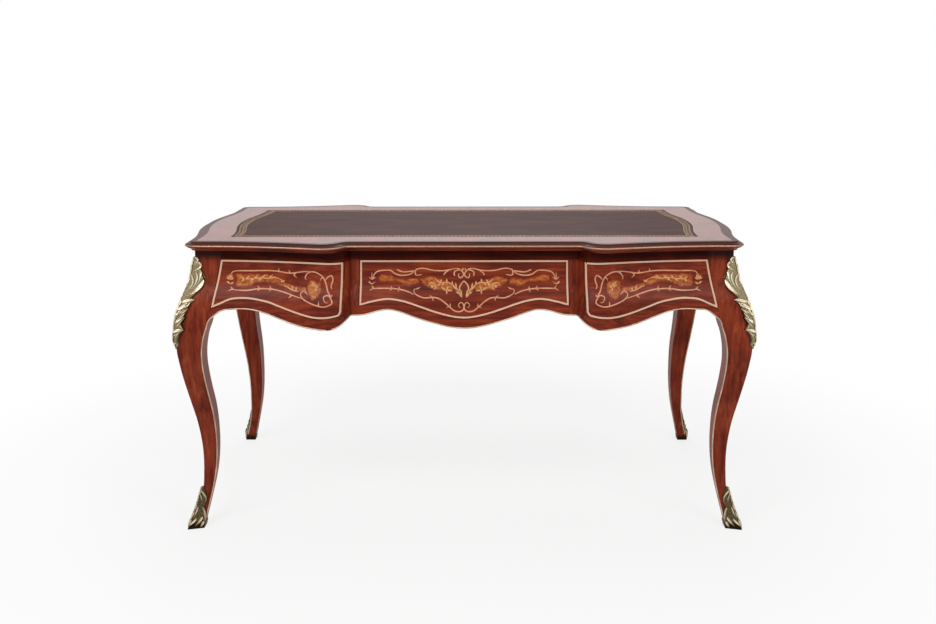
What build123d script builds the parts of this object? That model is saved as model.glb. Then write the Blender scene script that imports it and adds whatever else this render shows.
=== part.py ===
from build123d import *
from math import atan, atan2, cos, degrees, radians, sin, sqrt
import os

# Louis XV style bureau plat: a writing desk with three drawers in the front,
# a serpentine top with a leather inlay and four cabriole legs with bronzes.
# Millimetres, +Z up, the front faces -Y, origin on the floor under the centre.

os.makedirs("parts", exist_ok=True)

# ---------------------------------------------------------------- top: plan
desk_length = 1502.0          # flat of the top, over the bowed ends
desk_height = 800.0
centre_half_depth = 356.0     # flat of the top, middle stretch of the front
ear_setback = 4.0             # flat of the top, beside the corner, behind the middle
side_bow = 27.5               # how far each end bows out past the corner
side_wave = 262.0             # from the centre line to where the bow starts
side_hollow_radius = 560.0
ear_radius = 22.0
ear_flat = 4.0
cove_radius = 32.0            # hollow beside the middle stretch
shoulder_radius = 50.0        # round that follows the hollow
step_angle = 62.0             # turn of the hollow
run_slope = 14.5              # the edge falls back from the shoulder
run_length = 45.0

# ------------------------------------------------------------- top: section
top_thickness = 24.0
edge_width = 16.0             # moulded edge, inside the arris
bead_radius = 4.0             # carved rope below the arris
bead_reach = 13.5             # from the arris to the middle of the rope
bead_drop = 10.5              # from the flat to the middle of the rope
bead_sides = 8
arris = 1.0                   # upright land over the cove
cove_sweep = 12.0             # radius of the cove between arris and rope
rope_sink = 2.0               # the edge stands back this far from the rope's middle
lip_height = 3.0              # square lip at the bottom of the edge
lip_reach = 1.0
lip_setback = 2.0
leather_thickness = 1.5
leather_half_depth = 272.0
leather_end_inset = 92.0      # veneered border at each end

# --------------------------------------------------------------- leg outline
corner_inset = 9.5            # leg corner inside the end of the top
face_inset = 18.0             # frieze inside the front of the top
# The leg is square all the way down. How far its corners stand out from the
# corner line: the knee's outer corner by its drop below the top board, then both
# corners by their height, as a share of the height of the knee's foot.
knee = [(41, 0), (86, 6), (128, 26), (164, 35.5), (197, 42)]
shin = [(0.952, 47, -22.5), (0.889, 50.5, -16), (0.82, 46.5, -14.2), (0.75, 40.5, -17),
        (0.675, 32.5, -22), (0.6, 24, -28), (0.53, 16.3, -31.2), (0.461, 11, -32.3),
        (0.392, 7.7, -31.8), (0.323, 7, -29), (0.256, 8.5, -23.8), (0.19, 11.5, -16),
        (0.107, 21, -4.5), (0.048, 30.5, 4.2), (0, 38, 10)]
bracket_drop = 188.0          # where the lower rail runs into the leg
leg_block = 66.0              # width of the leg under the top of the drawers
block_lean = 0.204            # its inner face leans out as it goes down
station_count = 42            # sections that shape the leg, less one

# -------------------------------------------------------------------- frieze
bay_offset = 4.5              # side bay starts this far past the hollow
bay_shoulder_radius = 50.0
upper_rail = 26.0             # height of the rail over the drawers
frame_depth = 40.0            # rails and posts, front to back
post_inner = 22.0             # post, on the centre drawer's side
post_outer = 13.0             # post, on the side drawer's side
board = 22.0                  # drawer fronts and back apron
side_inner = 24.0             # end apron, from the leg corner to its inside
# Lower edges: (share of the way across, drop below the top board)
centre_edge = [(0, 203), (0.25, 191), (0.465, 171), (0.68, 154.5),
               (0.87, 167), (1, 169)]
bay_edge = [(0, 169), (0.06, 187.5), (0.115, 196), (0.21, 197.5),
            (0.35, 190.5), (0.49, 174.5), (0.635, 157), (0.76, 152),
            (0.845, 154), (0.919, 161), (0.972, 176)]
end_edge = [(0, 190), (0.3, 178), (0.6, 156), (0.8, 153), (0.94, 165)]
centre_opening = [(0, 179), (0.25, 165), (0.465, 144), (0.68, 131),
                  (0.87, 142), (1, 148)]
bay_opening = [(0, 154), (0.09, 165), (0.21, 171), (0.35, 162.5),
               (0.49, 146), (0.635, 131.5), (0.74, 128), (0.845, 132),
               (0.919, 144), (1, 154)]

# ------------------------------------------------------------------- drawers
gap = 1.0                     # around each drawer front
play = 0.6                    # drawer box beside its guide
rub = 0.3                     # drawer box over its runner
box_height = 87.0
side_thickness = 12.0
bottom_thickness = 6.0
groove_depth = 5.0
groove_rise = 6.0             # bottom panel over the lower edge of the sides
drawer_length = 560.0         # back of the drawer behind the frieze
lap = 13.0                    # dovetails run this deep into the front
tail_count = 3
tail_root = 15.0
tail_tip = 19.0
back_lower = 4.0              # back of the drawer lower than its sides
centre_box_inset = 17.0       # drawer box inside the opening
bay_box_inner = 31.0
bay_box_outer = 8.0
partition_width = 18.0
runner_drop = 120.0           # top of the runners, below the top board
runner_width = 16.0           # part of the runner under the box
runner_height = 16.0
guide_height = 34.0
guide_width = 16.0            # free-standing guide beside a side drawer
kicker_height = 32.0
kicker_width = 24.0

# -------------------------------------------------------------------- joints
fit = 0.2                     # play of a tenon in its mortise
tenon = 10.0
tenon_length = 30.0
tenon_shoulder = 8.0
frieze_tenon = 118.0          # height of the aprons' tenons
lower_rise = 19.0             # lower rail's tenon over the end of its lower edge
lower_height = 14.0
tenon_root = 8.0              # a lower rail's tenon starts this far inside the rail

# ------------------------------------------------------------------ bronzes
# How far each mount stands out at the leg's corner, by height, and at its edges.
# Corner mounts by their drop below the top board, foot mounts by their height.
chute_relief = [(12, 9), (60, 12), (110, 13), (165, 13), (215, 11), (270, 5)]
sabot_relief = [(118, 4), (90, 7), (60, 9), (30, 12), (0, 14)]
mount_reach = 46.0            # widest mount, along each face of the leg
mount_edge = 2.0
collar = 1.5                  # sabot on the inner faces of the foot
collar_height = 16.0
# Their width on each face of the leg, from the corner, by drop and by height.
chute = [(20, 19), (25, 41), (24, 61), (38, 77), (34, 100), (36, 119), (27, 128),
         (41, 133), (26, 147), (21, 164), (21, 180), (13, 198), (24, 214),
         (12, 228), (12, 249), (3, 264)]
leaf = [(1, 112), (15, 84), (17, 74), (12, 60), (17, 52), (25, 32), (26, 14)]

# ------------------------------------------------------------ derived values
ear_x = desk_length / 2 - side_bow
ear_half_depth = centre_half_depth - ear_setback
wave_angle = 2 * atan(side_bow / side_wave)
side_bow_radius = side_wave / sin(wave_angle) - side_hollow_radius
step = radians(step_angle)
fall = radians(run_slope)
shoulder_depth = (centre_half_depth + cove_radius * (1 - cos(step))
                  - shoulder_radius * cos(step))
run_end_depth = shoulder_depth + shoulder_radius * cos(fall) - run_length * sin(fall)
sweep_radius = (run_end_depth - ear_half_depth) / (1 - cos(fall))
half_centre_run = (ear_x - ear_radius - ear_flat - sweep_radius * sin(fall)
                   - run_length * cos(fall)
                   - shoulder_radius * (sin(step) + sin(fall)) - cove_radius * sin(step))
shoulder_x = half_centre_run + (cove_radius + shoulder_radius) * sin(step)

rail_top = desk_height - top_thickness
drawer_top = rail_top - upper_rail - gap
corner_x = ear_x - corner_inset
corner_y = ear_half_depth - face_inset
face_y = centre_half_depth - face_inset
frame_back = face_y - frame_depth
inner_back = face_y - board   # inside of the back apron
bay_x = half_centre_run + bay_offset
stile_x = bay_x - post_inner
post_x = bay_x + post_outer
end_back = corner_x - side_inner

# Centre of the round shoulder that starts a side bay: it passes through the
# bay's inner corner and touches the line parallel to the run of the top.
_k = shoulder_radius - face_inset - bay_shoulder_radius
_dx = shoulder_x + _k * sin(fall) - bay_x
_dy = shoulder_depth + _k * cos(fall) - face_y
_along = _dx * cos(fall) - _dy * sin(fall)
_t = -_along + sqrt(_along ** 2 - _dx ** 2 - _dy ** 2 + bay_shoulder_radius ** 2)
bay_cx = bay_x + _dx + _t * cos(fall)
bay_cy = face_y + _dy - _t * sin(fall)
bay_run = (shoulder_x + run_length * cos(fall) + (shoulder_radius - face_inset) * sin(fall)
           - bay_cx - bay_shoulder_radius * sin(fall)) / cos(fall)


knee_z = rail_top - knee[0][0]
knee_foot = rail_top - knee[-1][0]
stations = [rail_top * (1 - i / station_count) for i in range(station_count + 1)]
front_plane = Plane((bay_x, -face_y, 0), x_dir=(0, -1, 0), z_dir=(-1, 0, 0))
end_plane = Plane((corner_x, corner_y, 0), x_dir=(1, 0, 0), z_dir=(0, -1, 0))


def block_x(z):
    """Inner face of the leg block, at the height z."""
    return corner_x - leg_block + block_lean * (drawer_top - z)


def bay_depth(x):
    """How far the frieze stands in front of the centre line at x, unswelled."""
    past_round = x - bay_cx - bay_shoulder_radius * sin(fall)
    if past_round < 0:
        return bay_cy + sqrt(bay_shoulder_radius ** 2 - (x - bay_cx) ** 2)
    start = bay_cy + bay_shoulder_radius * cos(fall)
    past_run = past_round - bay_run * cos(fall)
    if past_run < 0:
        return start - past_round * sin(fall) / cos(fall)
    r = sweep_radius + face_inset
    s = max(sin(fall) - past_run / r, 0.0)
    return start - bay_run * sin(fall) - r * (sqrt(1 - s * s) - cos(fall))


def top_quarter(inset):
    """Back right quarter of the top's edge, parallel at a given inset."""
    a = Line((0, centre_half_depth - inset), (half_centre_run, centre_half_depth - inset))
    b = JernArc(a @ 1, a % 1, cove_radius + inset, step_angle)
    c = JernArc(b @ 1, b % 1, shoulder_radius - inset, -step_angle - run_slope)
    d = Line(c @ 1, c @ 1 + (c % 1) * run_length)
    e = JernArc(d @ 1, d % 1, sweep_radius + inset, run_slope)
    f = Line(e @ 1, e @ 1 + (e % 1) * ear_flat)
    g = JernArc(f @ 1, f % 1, ear_radius - inset, -90)
    side_line(inset, g @ 1)


def side_line(inset, start):
    """Right end of the top, from a point behind the bow to the centre line."""
    turn = degrees(wave_angle)
    a = Line(start, (ear_x - inset, side_wave))
    b = JernArc(a @ 1, a % 1, side_hollow_radius + inset, turn)
    JernArc(b @ 1, b % 1, side_bow_radius - inset, -turn)


def smooth(rows, z, start):
    """Value at z on the smooth line through (z, value) rows, highest first."""
    last = len(rows) - 1
    i = next((k for k in range(last) if z >= rows[k + 1][0]), last - 1)
    slopes = []
    for k in (i, i + 1):
        (za, a), (zb, b) = rows[max(k - 1, 0)], rows[min(k + 1, last)]
        slopes.append((b - a) / (zb - za) if k else start)
    (z1, a), (z0, b) = rows[i], rows[i + 1]
    t = (z1 - z) / (z1 - z0)
    return (a * (1 + 2 * t) * (1 - t) ** 2 + b * t ** 2 * (3 - 2 * t)
            + (z1 - z0) * t * (1 - t) * (slopes[1] * t - slopes[0] * (1 - t)))


def outer_corner(z):
    """How far the leg's outer corner stands out from the corner line at z."""
    rows = [(rail_top - d, u) for d, u in knee] + [(h * knee_foot, u) for h, u, _ in shin]
    return smooth(rows, z, 0.0) if z < knee_z else 0.0


def inner_corner(z):
    """The same for its inner corner, which follows the leaning block at first."""
    rows = [(knee_foot, block_x(knee_foot) - corner_x)]
    rows += [(h * knee_foot, v) for h, _, v in shin]
    return smooth(rows, z, -block_lean) if z < knee_foot else block_x(z) - corner_x


def station(z):
    """Square section of the back right leg at the height z."""
    outward, inward = outer_corner(z), inner_corner(z)
    middle = (outward + inward) / 2
    with BuildSketch(Plane((corner_x + middle, corner_y + middle, z))) as s:
        Rectangle(outward - inward, outward - inward)
    return s.sketch


def swelled_section(plane, back):
    """Section of the frieze on a plane: swelled face, upright back."""
    face = [(0, knee_z)]
    face += [(outer_corner(z), z) for z in stations if knee_z > z > shin[1][0] * knee_foot]
    with BuildSketch(plane) as s:
        with BuildLine():
            a = Line((0, rail_top), (0, knee_z))
            b = Spline(face, tangents=((0, -1), (0.12, -1)))
            Polyline(b @ 1, (-back, face[-1][1]), (-back, rail_top), a @ 0)
        make_face()
    return s.sketch


def bay_path(shift=0.0):
    """Front of the right side bay, from its inner corner to the leg."""
    tx, ty = face_y - bay_cy, bay_x - bay_cx
    a = JernArc((bay_x, shift - face_y), (tx, ty), bay_shoulder_radius,
                run_slope - degrees(atan2(ty, tx)))
    b = Line(a @ 1, a @ 1 + (a % 1) * bay_run)
    c = JernArc(b @ 1, b % 1, sweep_radius + face_inset, -run_slope)
    Line(c @ 1, c @ 1 + (c % 1) * (leg_block + ear_flat))


def add_bay(back):
    """Swelled front of the right side bay, with its back this far behind."""
    with BuildLine() as path:
        bay_path()
    sweep(swelled_section(front_plane, back), path=path.line, normal=(-1, 0, 0))


def add_centre(back):
    """Swelled front of the centre bay."""
    extrude(swelled_section(front_plane, back), amount=2 * bay_x)


def bay_at(share):
    return bay_x + share * (block_x(rail_top - bracket_drop) - fit - bay_x)


def frieze_face():
    """Right half of the frieze seen from the front, down to its wavy edge."""
    a = Spline([(t * bay_x, rail_top - d) for t, d in centre_edge], tangents=((1, 0), (1, 0)))
    pts = [(bay_at(t), rail_top - d) for t, d in bay_edge + [(1, bracket_drop)]]
    b = Spline(pts, tangents=((1, -0.9), (0.75, -1)))
    Polyline(b @ 1, (block_x(rail_top) - fit, rail_top), (0, rail_top), a @ 0)


def centre_face(down, end):
    """Right half of the centre drawer's opening, let down and cut at end."""
    with BuildSketch(Plane.XZ) as s:
        with BuildLine():
            a = Spline([(t * bay_x, rail_top - d - down) for t, d in centre_opening],
                       tangents=((1, 0), (1, -0.3)))
            Polyline(a @ 1, (bay_x, drawer_top), (0, drawer_top), a @ 0)
        make_face()
        with Locations((0, rail_top / 2)):
            Rectangle(2 * end, rail_top, mode=Mode.INTERSECT)
    return s.sketch


def bay_face(down, start, clear):
    """Right side drawer's opening, let down, with room at its ends."""
    with BuildSketch(Plane.XZ) as s:
        with BuildLine():
            a = Spline([(bay_at(t), rail_top - d - down) for t, d in bay_opening],
                       tangents=((1, -0.9), (1, -0.2)))
            Polyline(a @ 1, (block_x(drawer_top) + leg_block, drawer_top),
                     (bay_x, drawer_top), a @ 0)
        make_face()
        with BuildLine():
            low = rail_top - 2 * bracket_drop
            Polyline((start, drawer_top), (block_x(drawer_top) - clear, drawer_top),
                     (block_x(low) - clear, low), (start, low), close=True)
        make_face(mode=Mode.INTERSECT)
    return s.sketch


def end_face():
    """Back half of the end frieze, seen from the end, down to its wavy edge."""
    reach = block_x(rail_top - bracket_drop) - fit - corner_x + corner_y
    pts = [(t * reach, rail_top - d) for t, d in end_edge + [(1, bracket_drop)]]
    a = Spline(pts, tangents=((1, 0), (0.75, -1)))
    Polyline(a @ 1, (block_x(rail_top) - fit - corner_x + corner_y, rail_top),
             (0, rail_top), a @ 0)


# ------------------------------------------------------------------ top board
with BuildSketch(Plane.XY.offset(desk_height)) as leather_outline:
    with BuildLine():
        a = Line((0, leather_half_depth), (ear_x - leather_end_inset, leather_half_depth))
        side_line(leather_end_inset, a @ 1)
        mirror(about=Plane.YZ)
        mirror(about=Plane.XZ)
    make_face()

with BuildPart() as writing_leather:
    extrude(leather_outline.sketch, amount=-leather_thickness)

with BuildPart() as top_panel:
    with BuildSketch(Plane.XY.offset(rail_top)):
        with BuildLine():
            top_quarter(edge_width)
            mirror(about=Plane.YZ)
            mirror(about=Plane.XZ)
        make_face()
    extrude(amount=top_thickness)
    extrude(leather_outline.sketch, amount=-leather_thickness, mode=Mode.SUBTRACT)

with BuildLine() as top_edge:
    top_quarter(0)
    mirror(about=Plane.YZ)
    mirror(about=Plane.XZ)

edge_section = Plane((0, centre_half_depth, desk_height), x_dir=(0, 1, 0), z_dir=(1, 0, 0))

with BuildPart() as top_edge_rope:
    with BuildSketch(edge_section):
        with Locations((bead_reach, -bead_drop)):
            RegularPolygon(bead_radius, bead_sides)
    sweep(path=top_edge.line)

with BuildPart() as top_edge_moulding:
    with BuildSketch(edge_section):
        with BuildLine():
            seat = bead_drop - bead_radius
            a = Line((-edge_width, 0), (0, 0))
            b = Line(a @ 1, (0, -arris))
            c = RadiusArc(b @ 1, (bead_reach - rope_sink, -seat), -cove_sweep)
            d = Line(c @ 1, (bead_reach - rope_sink, -bead_drop - bead_radius))
            low = (lip_reach, lip_height - top_thickness)
            Spline(d @ 1, low, tangents=((-0.6, -1), (-0.8, -1)))
            Polyline(low, (lip_reach - lip_setback, lip_height - top_thickness),
                     (lip_reach - lip_setback, -top_thickness),
                     (-edge_width, -top_thickness), a @ 0)
        make_face()
        with Locations((bead_reach, -bead_drop)):
            RegularPolygon(bead_radius, bead_sides, mode=Mode.SUBTRACT)
    sweep(path=top_edge.line)

# ----------------------------------------------------------------------- legs
with BuildPart() as leg_blank:
    loft([station(z) for z in stations])


def at_corner(x0, x1, y0, y1, z0, z1, grow=0.0, mode=Mode.ADD):
    """Tenon near the back right leg, or its mortise where grow is the play."""
    with BuildSketch(Plane.XY.offset(z0 - grow)) as s:
        with Locations(((x0 + x1) / 2, (y0 + y1) / 2)):
            Rectangle(x1 - x0 + 2 * grow, y1 - y0 + 2 * grow)
    extrude(s.sketch, amount=z1 - z0 + 2 * grow, mode=mode)


# Tenons, placed from the corner of the leg: the long sides enter along X, the
# ends along Y.
long_tenon = (corner_x - leg_block - tenon, block_x(rail_top) + tenon_length + tenon,
              corner_y - tenon_shoulder - tenon, corner_y - tenon_shoulder)
end_tenon = (corner_x - tenon_shoulder - tenon, corner_x - tenon_shoulder,
             corner_y - leg_block - tenon, block_x(rail_top) + tenon_length - corner_x + corner_y)
apron_tenon_z = (rail_top - tenon_shoulder - frieze_tenon, rail_top - tenon_shoulder)
upper_tenon_z = (rail_top - upper_rail + fit, rail_top - tenon_shoulder)
lower_tenon_z = (rail_top - bracket_drop + lower_rise,
                 rail_top - bracket_drop + lower_rise + lower_height)
lower_tenon = (block_x(lower_tenon_z[0]) - tenon_root, block_x(lower_tenon_z[0]) + tenon_length,
               *long_tenon[2:])

with BuildPart() as leg_back_right:
    add(leg_blank.part)
    at_corner(*end_tenon, *apron_tenon_z, grow=fit, mode=Mode.SUBTRACT)
    at_corner(*long_tenon, *apron_tenon_z, grow=fit, mode=Mode.SUBTRACT)

with BuildPart() as leg_back_left:
    mirror(leg_back_right.part, about=Plane.YZ)

with BuildPart() as leg_front_right:
    add(leg_blank.part)
    at_corner(*end_tenon, *apron_tenon_z, grow=fit, mode=Mode.SUBTRACT)
    at_corner(*long_tenon, *upper_tenon_z, grow=fit, mode=Mode.SUBTRACT)
    at_corner(*lower_tenon, *lower_tenon_z, grow=fit, mode=Mode.SUBTRACT)
    mirror(about=Plane.XZ, mode=Mode.REPLACE)

with BuildPart() as leg_front_left:
    mirror(leg_front_right.part, about=Plane.YZ)


# -------------------------------------------------------------- front frame
def tenon_front(z_range, plan):
    """Tenon of a front rail into the front right leg."""
    x0, x1, y0, y1 = plan
    at_corner(x0, x1, -y1, -y0, *z_range)


def keep_in_front(x0, x1, z0, z1, back=frame_back):
    """Cut what is being made to a box in front of a straight back."""
    with BuildSketch(Plane.XZ.offset(back)) as s:
        with Locations(((x0 + x1) / 2, (z0 + z1) / 2)):
            Rectangle(x1 - x0, z1 - z0)
    extrude(s.sketch, amount=desk_length, mode=Mode.INTERSECT)


def cut_to(face, mode=Mode.INTERSECT):
    """Cut what is being made by a shape seen from the front."""
    extrude(face, amount=desk_length, mode=mode)


with BuildSketch(Plane.XZ) as right_frieze:
    with BuildLine():
        frieze_face()
    make_face()

deep = face_y                 # deeper than any member of the frame

with BuildPart() as front_top_rail:
    add_bay(deep)
    keep_in_front(bay_x - gap, desk_length, rail_top - upper_rail, rail_top)
    cut_to(right_frieze.sketch)
    tenon_front(upper_tenon_z, long_tenon)
    mirror(about=Plane.YZ)
    add_centre(deep)
    keep_in_front(-desk_length, desk_length, rail_top - upper_rail, rail_top)

with BuildPart() as front_lower_rail_center:
    add_centre(deep)
    keep_in_front(0, stile_x, 0, drawer_top - gap)
    cut_to(right_frieze.sketch)
    cut_to(centre_face(gap, bay_x), mode=Mode.SUBTRACT)
    mirror(about=Plane.YZ)

with BuildPart() as front_lower_rail_right:
    add_bay(deep)
    keep_in_front(post_x, desk_length, 0, drawer_top - gap)
    cut_to(right_frieze.sketch)
    cut_to(bay_face(gap, 0, -leg_block), mode=Mode.SUBTRACT)
    tenon_front(lower_tenon_z, lower_tenon)

with BuildPart() as front_lower_rail_left:
    mirror(front_lower_rail_right.part, about=Plane.YZ)

with BuildPart() as front_post_right:
    add_bay(deep)
    add_centre(deep)
    keep_in_front(stile_x, post_x, 0, rail_top - upper_rail)
    cut_to(right_frieze.sketch)

with BuildPart() as front_post_left:
    mirror(front_post_right.part, about=Plane.YZ)

# --------------------------------------------------------- back and end aprons
with BuildPart() as back_apron:
    add_bay(deep)
    add_centre(deep)
    keep_in_front(0, desk_length, 0, rail_top, inner_back)
    cut_to(right_frieze.sketch)
    x0, x1, y0, y1 = long_tenon
    at_corner(x0, x1, -y1, -y0, *apron_tenon_z)
    mirror(about=Plane.YZ)
    mirror(about=Plane.XZ, mode=Mode.REPLACE)

with BuildPart() as side_apron_right:
    with BuildLine() as end_path:
        side_line(corner_inset, (corner_x, corner_y))
    sweep(swelled_section(end_plane, corner_x - end_back + side_bow), path=end_path.line,
          normal=(0, -1, 0))
    with BuildSketch(Plane.YZ.offset(end_back)):
        with BuildLine():
            end_face()
        make_face()
    extrude(amount=desk_length, mode=Mode.INTERSECT)
    at_corner(*end_tenon, *apron_tenon_z)
    mirror(about=Plane.XZ)

with BuildPart() as side_apron_left:
    mirror(side_apron_right.part, about=Plane.YZ)

# ------------------------------------------------- partitions, runners, kickers
runner_top = rail_top - runner_drop
partition_x = (stile_x + post_x - partition_width) / 2
centre_box = stile_x - centre_box_inset
bay_box = (post_x + bay_box_inner, block_x(drawer_top) - bay_box_outer)


def lengthwise(x0, x1, z0, z1):
    """Member that runs from the front frame to the back apron."""
    with BuildSketch(Plane.XZ.offset(frame_back)) as s:
        with Locations(((x0 + x1) / 2, (z0 + z1) / 2)):
            Rectangle(x1 - x0, z1 - z0)
    extrude(s.sketch, amount=-frame_back - inner_back)


with BuildPart() as drawer_partition_right:
    lengthwise(partition_x, partition_x + partition_width, runner_top - runner_height,
               rail_top)

with BuildPart() as drawer_partition_left:
    mirror(drawer_partition_right.part, about=Plane.YZ)

with BuildPart() as runner_center_right:
    lengthwise(centre_box - runner_width, partition_x, runner_top - runner_height, runner_top)
    lengthwise(centre_box + play, partition_x, runner_top, runner_top + guide_height)

with BuildPart() as runner_center_left:
    mirror(runner_center_right.part, about=Plane.YZ)

with BuildPart() as runner_right_inner:
    x = partition_x + partition_width
    lengthwise(x, bay_box[0] + runner_width, runner_top - runner_height, runner_top)
    lengthwise(x, bay_box[0] - play, runner_top, runner_top + guide_height)

with BuildPart() as runner_left_inner:
    mirror(runner_right_inner.part, about=Plane.YZ)

with BuildPart() as runner_right_outer:
    x = bay_box[1] + play
    lengthwise(bay_box[1] - runner_width, end_back, runner_top - runner_height, runner_top)
    lengthwise(x, x + guide_width, runner_top, runner_top + guide_height)
    add(leg_blank.part, mode=Mode.SUBTRACT)
    mirror(leg_blank.part, about=Plane.XZ, mode=Mode.SUBTRACT)

with BuildPart() as runner_left_outer:
    mirror(runner_right_outer.part, about=Plane.YZ)

with BuildPart() as drawer_kickers:
    z = rail_top - kicker_height
    x = partition_x + partition_width
    lengthwise(centre_box - kicker_width, partition_x, z, rail_top)
    lengthwise(x, bay_box[0] + kicker_width, z, rail_top)
    lengthwise(bay_box[1] - kicker_width, bay_box[1], z, rail_top)
    mirror(about=Plane.YZ)

# -------------------------------------------------------------------- drawers
box_z = runner_top + rub
groove_z = box_z + groove_rise
rear_y = drawer_length - face_y


def box_side(x, front, groove_x):
    """Side of a drawer from its outer face at x, dovetailed at both ends."""
    with BuildSketch(Plane.YZ.offset(x)) as s:
        with BuildLine():
            Polyline((-front, box_z), (rear_y - side_thickness, box_z),
                     (rear_y - side_thickness, box_z + box_height),
                     (-front, box_z + box_height), close=True)
        make_face()
        for i in range(tail_count):
            z = box_z + box_height * (i + 0.5) / tail_count
            for y, out in ((-front, -lap), (rear_y - side_thickness, side_thickness)):
                with BuildLine():
                    Polyline((y, z - tail_root / 2), (y + out, z - tail_tip / 2),
                             (y + out, z + tail_tip / 2), (y, z + tail_root / 2), close=True)
                make_face()
    extrude(s.sketch, amount=side_thickness)
    with BuildSketch(Plane.XY.offset(groove_z)) as g:
        with Locations((groove_x, 0)):
            Rectangle(2 * groove_depth, 2 * desk_length)
    extrude(g.sketch, amount=bottom_thickness, mode=Mode.SUBTRACT)


def box_back(x0, x1):
    """Back of a drawer, standing on the bottom panel between the side boards."""
    z0 = groove_z + bottom_thickness
    with BuildSketch(Plane.XZ.offset(side_thickness - rear_y)) as s:
        with Locations(((x0 + x1) / 2, (z0 + box_z + box_height - back_lower) / 2)):
            Rectangle(x1 - x0, box_z + box_height - back_lower - z0)
    extrude(s.sketch, amount=-side_thickness)


x0, x1 = bay_box
with BuildPart() as drawer_right_side_inner:
    box_side(x0, bay_depth(x0 + side_thickness / 2) - board, x0 + side_thickness)

with BuildPart() as drawer_right_side_outer:
    box_side(x1 - side_thickness, bay_depth(x1 - side_thickness / 2) - board,
             x1 - side_thickness)

with BuildPart() as drawer_right_bottom:
    with BuildSketch(Plane.XY.offset(groove_z)):
        with BuildLine() as edge:
            bay_path(board - groove_depth)
            Polyline(edge.line @ 1, (desk_length / 2, rear_y), (bay_x, rear_y), edge.line @ 0)
        make_face()
        with Locations(((x0 + x1) / 2, 0)):
            Rectangle(x1 - x0 - 2 * (side_thickness - groove_depth), desk_length,
                      mode=Mode.INTERSECT)
    extrude(amount=bottom_thickness)

with BuildPart() as drawer_right_back:
    box_back(x0, x1)
    add(drawer_right_side_inner.part, mode=Mode.SUBTRACT)
    add(drawer_right_side_outer.part, mode=Mode.SUBTRACT)

with BuildPart() as drawer_right_front:
    add_bay(board)
    cut_to(bay_face(0, post_x + gap, gap))
    add(drawer_right_side_inner.part, mode=Mode.SUBTRACT)
    add(drawer_right_side_outer.part, mode=Mode.SUBTRACT)
    add(drawer_right_bottom.part, mode=Mode.SUBTRACT)

with BuildPart() as drawer_left_side_inner:
    mirror(drawer_right_side_inner.part, about=Plane.YZ)

with BuildPart() as drawer_left_side_outer:
    mirror(drawer_right_side_outer.part, about=Plane.YZ)

with BuildPart() as drawer_left_bottom:
    mirror(drawer_right_bottom.part, about=Plane.YZ)

with BuildPart() as drawer_left_back:
    mirror(drawer_right_back.part, about=Plane.YZ)

with BuildPart() as drawer_left_front:
    mirror(drawer_right_front.part, about=Plane.YZ)

with BuildPart() as drawer_center_side_right:
    box_side(centre_box - side_thickness, face_y - board, centre_box - side_thickness)

with BuildPart() as drawer_center_side_left:
    mirror(drawer_center_side_right.part, about=Plane.YZ)

with BuildPart() as drawer_center_bottom:
    with BuildSketch(Plane.XY.offset(groove_z)):
        y0 = board - groove_depth - face_y
        with Locations((0, (y0 + rear_y) / 2)):
            Rectangle(2 * (centre_box - side_thickness + groove_depth), rear_y - y0)
    extrude(amount=bottom_thickness)

with BuildPart() as drawer_center_back:
    box_back(-centre_box, centre_box)
    add(drawer_center_side_right.part, mode=Mode.SUBTRACT)
    add(drawer_center_side_left.part, mode=Mode.SUBTRACT)

with BuildPart() as drawer_center_front:
    add_centre(board)
    cut_to(centre_face(0, stile_x - gap))
    mirror(about=Plane.YZ)
    add(drawer_center_side_right.part, mode=Mode.SUBTRACT)
    add(drawer_center_side_left.part, mode=Mode.SUBTRACT)
    add(drawer_center_bottom.part, mode=Mode.SUBTRACT)


# -------------------------------------------------------------------- bronzes
def mount_section(z, relief):
    """Section of a mount at z: it stands out most over the leg's corner."""
    out = outer_corner(z)
    with BuildSketch(Plane((corner_x, corner_y, z))) as s:
        with BuildLine():
            low = max(out - mount_reach, inner_corner(z) - collar)
            tip, edge = out + relief, out + mount_edge
            Polyline((tip, tip), (low, edge), (low, low), (edge, low), close=True)
        make_face()
    return s.sketch


def mount_face(edge, shift):
    """Outline of a corner mount on a face of the leg: edge, then outwards."""
    with BuildSketch(Plane.YZ if shift else Plane.XZ) as s:
        with BuildLine():
            pts = [(corner_x - shift + outer_corner(z) - w, z) for w, z in edge]
            out = corner_x + 2 * leg_block
            Polyline(*pts, (out, edge[-1][1]), (out, edge[0][1]), pts[0])
        make_face()
    return s.sketch


def cut_mount(edge):
    """Cut what is being made to the outline on both faces of the leg."""
    extrude(mount_face(edge, 0), amount=-desk_length, mode=Mode.INTERSECT)
    extrude(mount_face(edge, corner_x - corner_y), amount=desk_length, mode=Mode.INTERSECT)


chute_edge = [(w, rail_top - d) for w, d in chute]
sabot_edge = leaf + [(2 * leg_block, leaf[-1][1]), (2 * leg_block, 0)]

with BuildPart() as corner_mount_back_right:
    loft([mount_section(rail_top - d, r) for d, r in chute_relief])
    cut_mount(chute_edge)
    add(leg_blank.part, mode=Mode.SUBTRACT)

with BuildPart() as corner_mount_back_left:
    mirror(corner_mount_back_right.part, about=Plane.YZ)

with BuildPart() as corner_mount_front_right:
    mirror(corner_mount_back_right.part, about=Plane.XZ)

with BuildPart() as corner_mount_front_left:
    mirror(corner_mount_front_right.part, about=Plane.YZ)

with BuildPart() as foot_slice:
    add(leg_blank.part)
    with BuildSketch():
        Rectangle(2 * desk_length, 2 * desk_length)
    extrude(amount=collar_height, mode=Mode.INTERSECT)

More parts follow.
